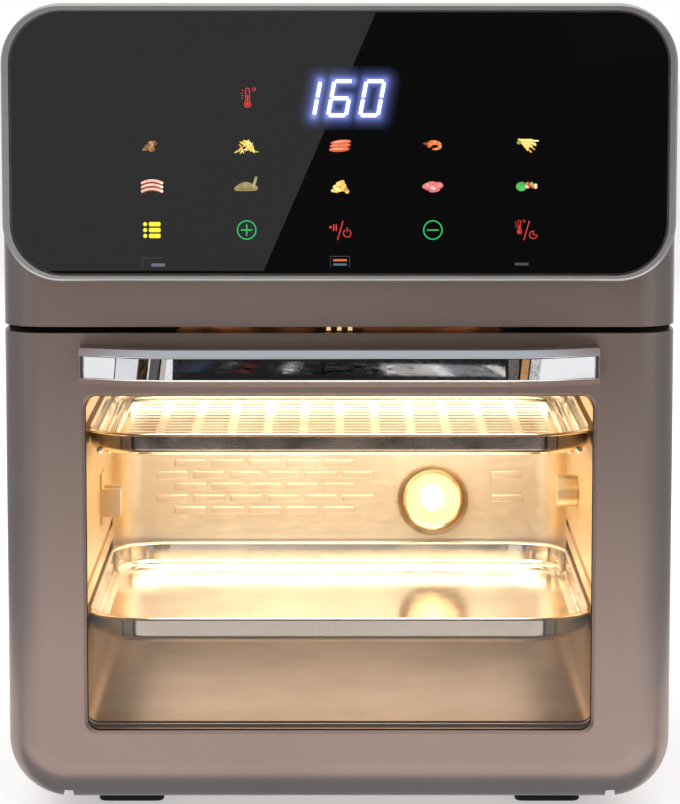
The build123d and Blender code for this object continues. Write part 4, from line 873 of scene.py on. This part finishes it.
makeRearCorners()
makeWallPressings()
makeSeamLight()
print("cavity details made")


# Figures and pictures on the panel

panelLook = {
    "glassFront": -141.7, "inkThickness": 0.12, "layer": 0.004,
    "columns": (-85.8, -42.5, 0.3, 42.9, 85.8), "rows": (315.6, 296.9, 277.1),
    "digitHeight": 15.6, "digitWidth": 8.2, "digitPitch": 14.6, "digitMiddle": (0.4, 337.4),
    "slant": 0.19, "stroke": 1.7, "glowNear": 1.15, "glowFar": 3.4, "glowArea": ((-21, 323), (29, 352)),
}


class Ink:
    # flat shapes on the glass, laid one over another and then made one thin piece
    def __init__(self, x=0, z=0):
        self.x, self.z = x, z
        self.shapes = []

    def add(self, shape, paint):
        attribute = shape.data.color_attributes.new("inkColour", "FLOAT_COLOR", "CORNER")
        for entry in attribute.data:
            entry.color = paint
        out = (panelLook["glassFront"] - 0.03 - panelLook["layer"] * len(self.shapes)) * mm
        for vertex in shape.data.vertices:
            vertex.co.y = out
        self.shapes.append(shape)

    def lay(self, shape, x, z, lean, paint):
        shape.rotation_euler = (0, -math.radians(lean), 0)
        shape.location = ((self.x + x) * mm, 0, (self.z + z) * mm)
        applyPlace(shape)
        self.add(shape, paint)

    def dab(self, x, z, halfWide, halfTall, lean, paint, sides=12):
        shape = addPrimitive("circle", vertices=sides, radius=1, fill_type="NGON", rotation=(quarter, 0, 0))
        shape.scale = (halfWide * mm, 1, halfTall * mm)
        self.lay(shape, x, z, lean, paint)

    def bar(self, x, z, halfLong, halfThick, lean, paint):
        shape = addPrimitive("plane", size=2, rotation=(quarter, 0, 0))
        openEdit(shape, "VERT", everything=True)
        bpy.ops.transform.resize(value=(halfLong * mm, 1, halfThick * mm))
        bpy.ops.mesh.bevel(affect="VERTICES", offset=min(halfLong, halfThick) * 0.6 * mm, segments=2)
        closeEdit()
        self.lay(shape, x, z, lean, paint)

    def ring(self, x, z, radius, width, paint, opening=None):
        # opening gives two angles in degrees between which the ring is left out
        x, z = (self.x + x) * mm, (self.z + z) * mm
        shape = addPrimitive("circle", vertices=40, radius=radius * mm, fill_type="NGON",
                             rotation=(quarter, 0, 0), location=(x, 0, z))
        openEdit(shape, everything=True)
        bpy.ops.mesh.inset(thickness=width * mm, depth=0)
        bpy.ops.mesh.delete(type="FACE")
        if opening:
            def isOpen(face):
                middle = faceMiddle(face)
                angle = math.degrees(math.atan2(middle.z - z, middle.x - x)) % 360
                return opening[0] < angle < opening[1]
            pick(shape, "faces", isOpen)
            bpy.ops.mesh.delete(type="FACE")
        closeEdit()
        self.add(shape, paint)

    def finish(self, name, finish=None):
        piece = joinPieces(self.shapes)
        useModifier(piece, "SOLIDIFY", thickness=panelLook["inkThickness"] * mm, offset=-1)
        settle(piece, name, "cabinet", finish or litInk)


def makeInk(name, strength):
    # printed or lit ink: the colour comes with the shape, and a fine screen shows in it
    made = Finish(name, Roughness=0.4)
    source = made.node("ShaderNodeAttribute", attribute_name="inkColour").outputs["Color"]
    grain = made.spread(made.noise(2600, 2.0), 0.0, 0.25)
    shown = made.blend(grain, source, (0, 0, 0, 1))
    made.paint(shown)
    made.glow(shown, strength)
    return made.material


litInk = makeInk("litInk", 0.6)
digitInk = makeInk("digitInk", 1.6)
columns = panelLook["columns"]
rows = panelLook["rows"]
draw = random.Random(11)


def vary(paint, amount=0.22):
    share = 1 + draw.uniform(-amount, amount)
    return (min(1, paint[0] * share), min(1, paint[1] * share), min(1, paint[2] * share), 1)


def drawHeap(name, x, z, paints, count, wide, tall, lengths, thick, leans=(-70, 70)):
    # a heap of sticks or lumps: broad below and narrow above
    ink = Ink(x, z)
    for number in range(count):
        up = number / count
        reach = wide * (1 - 0.75 * up)
        ink.dab(draw.uniform(-reach, reach), 2 * tall * up - tall, draw.uniform(*lengths),
                thick * draw.uniform(0.75, 1.2), draw.uniform(*leans), vary(paints[number % len(paints)]), 8)
    ink.finish(name)


def drawFoods():
    brown = [colour(150, 104, 66), colour(112, 74, 44), colour(176, 132, 92)]
    yellow = [colour(232, 200, 96), colour(206, 160, 60), colour(246, 226, 150)]
    drawHeap("iconNuggets", columns[0], rows[0], brown, 22, 3.6, 1.9, (0.9, 1.5), 0.6, (-30, 30))
    drawHeap("iconFries", columns[1], rows[0] - 0.2, yellow, 34, 4.6, 2.4, (1.0, 1.9), 0.36)

    ink = Ink(columns[2], rows[0])
    for x, z, lean in ((-0.3, -1.5, 3), (0.1, 0.2, 4), (0.4, 1.7, 6)):
        ink.dab(x, z, 4.9 - 0.4 * abs(x), 1.15, lean, colour(196, 86, 54), 20)
        ink.dab(x, z + 0.25, 4.2, 0.55, lean, colour(226, 124, 84), 16)
        ink.dab(x - 0.8, z + 0.42, 2.4, 0.2, lean, colour(246, 188, 152), 12)
    ink.finish("iconSausages")

    ink = Ink(columns[3], rows[0])
    for number in range(11):  # a curled prawn, thick at the head and thin at the tail
        angle = math.radians(150 - number * 25)
        size = 1.7 - 0.1 * number
        paint = colour(226, 138, 74) if number % 2 else colour(198, 100, 48)
        ink.dab(0.7 + 2.5 * math.cos(angle), 0.1 + 1.5 * math.sin(angle), size, size * 0.72,
                150 - number * 25 + 90, vary(paint, 0.1), 12)
    ink.dab(-3.0, 1.4, 1.9, 0.32, 14, colour(150, 70, 34), 8)
    ink.dab(-2.6, 0.5, 1.7, 0.26, -14, colour(120, 58, 30), 8)
    ink.finish("iconPrawn")

    ink = Ink(columns[4], rows[0])
    for number in range(13):  # sticks fanned out from one end
        lean = -62 + number * 5.2
        long = 3.6 + 0.9 * math.sin(number * 1.9)
        ink.bar(long * math.cos(math.radians(lean)) - 3.4, 2.9 + long * math.sin(math.radians(lean)) * 0.72,
                long, 0.32, lean * 0.8, vary(yellow[number % 3], 0.15))
    ink.dab(-3.6, 1.7, 1.1, 0.9, 20, colour(120, 150, 60), 10)
    ink.finish("iconSticks")

    ink = Ink(columns[0], rows[1])
    for rise in (-1.9, 0.0, 1.9):  # three ribs, each a bent strip with a pale bone end
        for across in range(-4, 5):
            bend = 0.9 - 0.06 * across * across
            ink.dab(across * 1.05, rise + bend, 0.95, 0.78, across * -4,
                    vary(colour(222, 176, 160), 0.12), 10)
            ink.dab(across * 1.05, rise + bend - 0.62, 0.9, 0.26, across * -4,
                    vary(colour(132, 66, 46), 0.2), 8)
        ink.dab(4.4, rise, 0.7, 0.62, 0, colour(240, 226, 208), 10)
    ink.finish("iconRibs")

    ink = Ink(columns[1], rows[1])
    for number in range(12):  # a plump wing with a raised tip
        across = number / 11
        ink.dab(8.0 * across - 4.2, 0.9 * math.sin(across * 3) - 0.7, 1.5,
                1.2 + 1.0 * math.sin(across * math.pi), 12, vary(colour(142, 128, 84), 0.18), 10)
    for number in range(6):
        ink.dab(3.2 + 0.25 * number, 0.4 + 0.8 * number, 0.85 - 0.1 * number, 0.7, 70,
                vary(colour(164, 150, 104), 0.12), 8)
    for number in range(7):
        ink.dab(0.9 * number - 3, -0.9, 0.9, 0.16, 35, colour(92, 82, 52), 6)
    ink.finish("iconWing")

    golden = [colour(238, 190, 92), colour(206, 140, 56), colour(250, 222, 150)]
    drawHeap("iconPieces", columns[2], rows[1], golden, 22, 3.8, 2.1, (0.9, 1.6), 0.95)

    ink = Ink(columns[3], rows[1])
    for number in range(14):  # a slab of marbled meat
        ink.dab(draw.uniform(-3.2, 3.2), draw.uniform(-1.3, 1.3), 1.9, 1.25, 10,
                vary(colour(204, 106, 106), 0.14), 14)
    for number in range(8):
        ink.dab(draw.uniform(-3, 3), draw.uniform(-1.2, 1.4), 1.1, 0.16, draw.uniform(-30, 40),
                colour(240, 196, 190), 6)
    ink.finish("iconSlab")

    ink = Ink(columns[4], rows[1])
    for number in range(9):  # a green head beside orange and white pieces
        angle = number * 0.7
        ink.dab(1.3 * math.cos(angle) - 2.4, 0.2 + 1.1 * math.sin(angle), 1.25, 1.1, 0,
                vary(colour(70, 168, 76), 0.25), 10)
    paints = (colour(226, 112, 56), colour(240, 214, 190), colour(206, 60, 44), colour(120, 190, 80))
    for number in range(12):
        ink.dab(draw.uniform(0, 4.4), draw.uniform(-1.6, 1.6), 0.95, 0.6, draw.uniform(-50, 50),
                vary(paints[number % 4], 0.1), 8)
    ink.finish("iconVegetables")


def drawThermometer(ink, x, z, size, paint):
    for side in (-1, 1):
        ink.bar(x + side * 0.85 * size, z + 0.9 * size, 2.9 * size, 0.2 * size, 90, paint)
    ink.ring(x, z + 3.6 * size, 1.0 * size, 0.35 * size, paint, (185, 355))
    ink.ring(x, z - 2.9 * size, 1.6 * size, 0.4 * size, paint, (60, 120))
    ink.dab(x, z - 2.9 * size, 0.75 * size, 0.75 * size, 0, paint)
    ink.bar(x, z - 0.6 * size, 2.0 * size, 0.26 * size, 90, paint)
    ink.ring(x + 3.0 * size, z + 3.9 * size, 0.8 * size, 0.28 * size, paint)
    for step in range(4):
        ink.bar(x - 2.4 * size, z + (3.4 - 1.2 * step) * size, 0.45 * size, 0.14 * size, 0, paint)


def drawKeys():
    yellow = colour(226, 216, 50)
    green = colour(34, 172, 92)
    red = colour(214, 52, 46)
    ink = Ink(columns[0], rows[2])
    for rise in (-2.7, 0, 2.7):
        ink.dab(-3.3, rise, 0.95, 0.95, 0, yellow, 16)
        ink.bar(1.1, rise, 2.7, 1.0, 0, yellow)
    ink.finish("keyList")
    for name, x, leans in (("keyMore", columns[1], (0, 90)), ("keyLess", columns[3], (0,))):
        ink = Ink(x, rows[2])
        ink.ring(0, 0, 4.5, 0.55, green)
        for lean in leans:
            ink.bar(0, 0, 2.7, 0.3, lean, green)
        ink.finish(name)
    ink = Ink(columns[2], rows[2])
    ink.dab(-4.4, 1.3, 0.6, 0.6, 0, red, 10)
    for x in (-2.9, -1.7):
        ink.bar(x, 1.1, 1.5, 0.28, 90, red)
    ink.bar(0.1, -0.2, 4.6, 0.22, 74, red)
    ink.ring(3.3, -1.5, 1.9, 0.36, red, (62, 118))
    ink.bar(3.3, 0.1, 1.1, 0.2, 90, red)
    ink.finish("keyStartPower")
    ink = Ink(columns[4], rows[2])
    drawThermometer(ink, -3.2, 1.3, 0.72, red)
    ink.bar(0.1, -0.2, 4.6, 0.22, 74, red)
    ink.ring(3.2, -2.2, 1.9, 0.34, red, (10, 75))
    ink.bar(3.2, -1.6, 0.7, 0.16, 90, red)
    ink.bar(3.8, -2.2, 0.6, 0.16, 0, red)
    ink.finish("keyHeatTime")
    ink = Ink()
    drawThermometer(ink, -41.9, 337.6, 1.0, red)
    ink.finish("signThermometer")


def drawBars():
    ink = Ink()
    dim = colour(60, 66, 76)
    ink.bar(columns[0] + 2.6, 261.0, 3.2, 0.7, 0, colour(86, 98, 112))
    ink.bar(columns[0], 264.2, 4.6, 0.12, 0, dim)
    ink.bar(columns[2], 263.2, 3.2, 0.5, 0, colour(196, 88, 50))
    ink.bar(columns[2], 261.2, 3.2, 0.5, 0, colour(66, 96, 112))
    ink.bar(columns[2], 265.0, 4.4, 0.12, 0, dim)
    ink.bar(columns[4] - 2.0, 261.4, 3.2, 0.6, 0, colour(66, 64, 62))
    for x in (columns[0] - 4.6, columns[2] - 4.4, columns[2] + 4.4):
        ink.bar(x, 262.2, 2.6, 0.1, 90, dim)
    ink.finish("statusBars")


# the strokes of a seven-stroke digit in its own cell: two ends each, from -1 to 1
strokes = {
    "top": ((-1, 1), (1, 1)), "middle": ((-1, 0), (1, 0)), "bottom": ((-1, -1), (1, -1)),
    "upperLeft": ((-1, 0), (-1, 1)), "upperRight": ((1, 0), (1, 1)),
    "lowerLeft": ((-1, -1), (-1, 0)), "lowerRight": ((1, -1), (1, 0)),
}
litStrokes = {
    "1": ("upperRight", "lowerRight"),
    "6": ("top", "middle", "bottom", "upperLeft", "lowerLeft", "lowerRight"),
    "0": ("top", "bottom", "upperLeft", "lowerLeft", "upperRight", "lowerRight"),
}


def strokeLines():
    look = panelLook
    lines = []
    for place, digit in enumerate("160"):
        xMiddle = look["digitMiddle"][0] + (place - 1) * look["digitPitch"]
        for stroke in litStrokes[digit]:
            ends = []
            for across, up in strokes[stroke]:
                rise = up * look["digitHeight"] / 2
                ends.append((xMiddle + across * look["digitWidth"] / 2 + look["slant"] * rise,
                             look["digitMiddle"][1] + rise))
            lines.append(ends)
    return lines


def distanceTo(line, x, z):
    (x0, z0), (x1, z1) = line
    dx, dz = x1 - x0, z1 - z0
    along = max(0, min(1, ((x - x0) * dx + (z - z0) * dz) / (dx * dx + dz * dz)))
    return math.hypot(x - x0 - along * dx, z - z0 - along * dz)


def drawDigits():
    look = panelLook
    ink = Ink()
    white = colour(226, 232, 255)
    for (x0, z0), (x1, z1) in strokeLines():
        long = math.hypot(x1 - x0, z1 - z0)
        lean = math.degrees(math.atan2(z1 - z0, x1 - x0))
        ink.bar((x0 + x1) / 2, (z0 + z1) / 2, long / 2 - 0.35, look["stroke"] / 2, lean, white)
    ink.finish("displayDigits", digitInk)

    # the light that spreads in the glass round the digits
    low, high = look["glowArea"]
    glow = addPrimitive("grid", x_subdivisions=100, y_subdivisions=58, size=1, rotation=(quarter, 0, 0))
    openEdit(glow, "VERT", everything=True)
    bpy.ops.transform.resize(value=((high[0] - low[0]) * mm, 1, (high[1] - low[1]) * mm))
    bpy.ops.transform.translate(value=((low[0] + high[0]) / 2 * mm, (look["glassFront"] - 0.02) * mm,
                                       (low[1] + high[1]) / 2 * mm))
    closeEdit()
    lines = strokeLines()
    attribute = glow.data.color_attributes.new("glowShare", "FLOAT_COLOR", "POINT")
    for vertex, entry in zip(glow.data.vertices, attribute.data):
        nearest = min(distanceTo(line, vertex.co.x / mm, vertex.co.z / mm) for line in lines)
        outside = max(0, nearest - look["stroke"] / 2)
        share = 0.72 * math.exp(-outside / look["glowNear"]) + 0.28 * math.exp(-outside / look["glowFar"])
        share = max(0, (share - 0.035) / 0.965)
        entry.color = (share, share, share, 1)
    made = Finish("displayGlow", Roughness=0.03)
    share = made.node("ShaderNodeAttribute", attribute_name="glowShare").outputs["Fac"]
    made.paint(made.blend(share, colour(6, 6, 7), colour(20, 22, 50)))
    made.glow(made.blend(share, (0, 0, 0, 1), colour(138, 156, 250)), 0.85)
    useModifier(glow, "SOLIDIFY", thickness=0.1 * mm, offset=-1)
    settle(glow, "displayGlow", "cabinet", made.material)


drawFoods()
drawKeys()
drawBars()
drawDigits()
print("panel drawn")
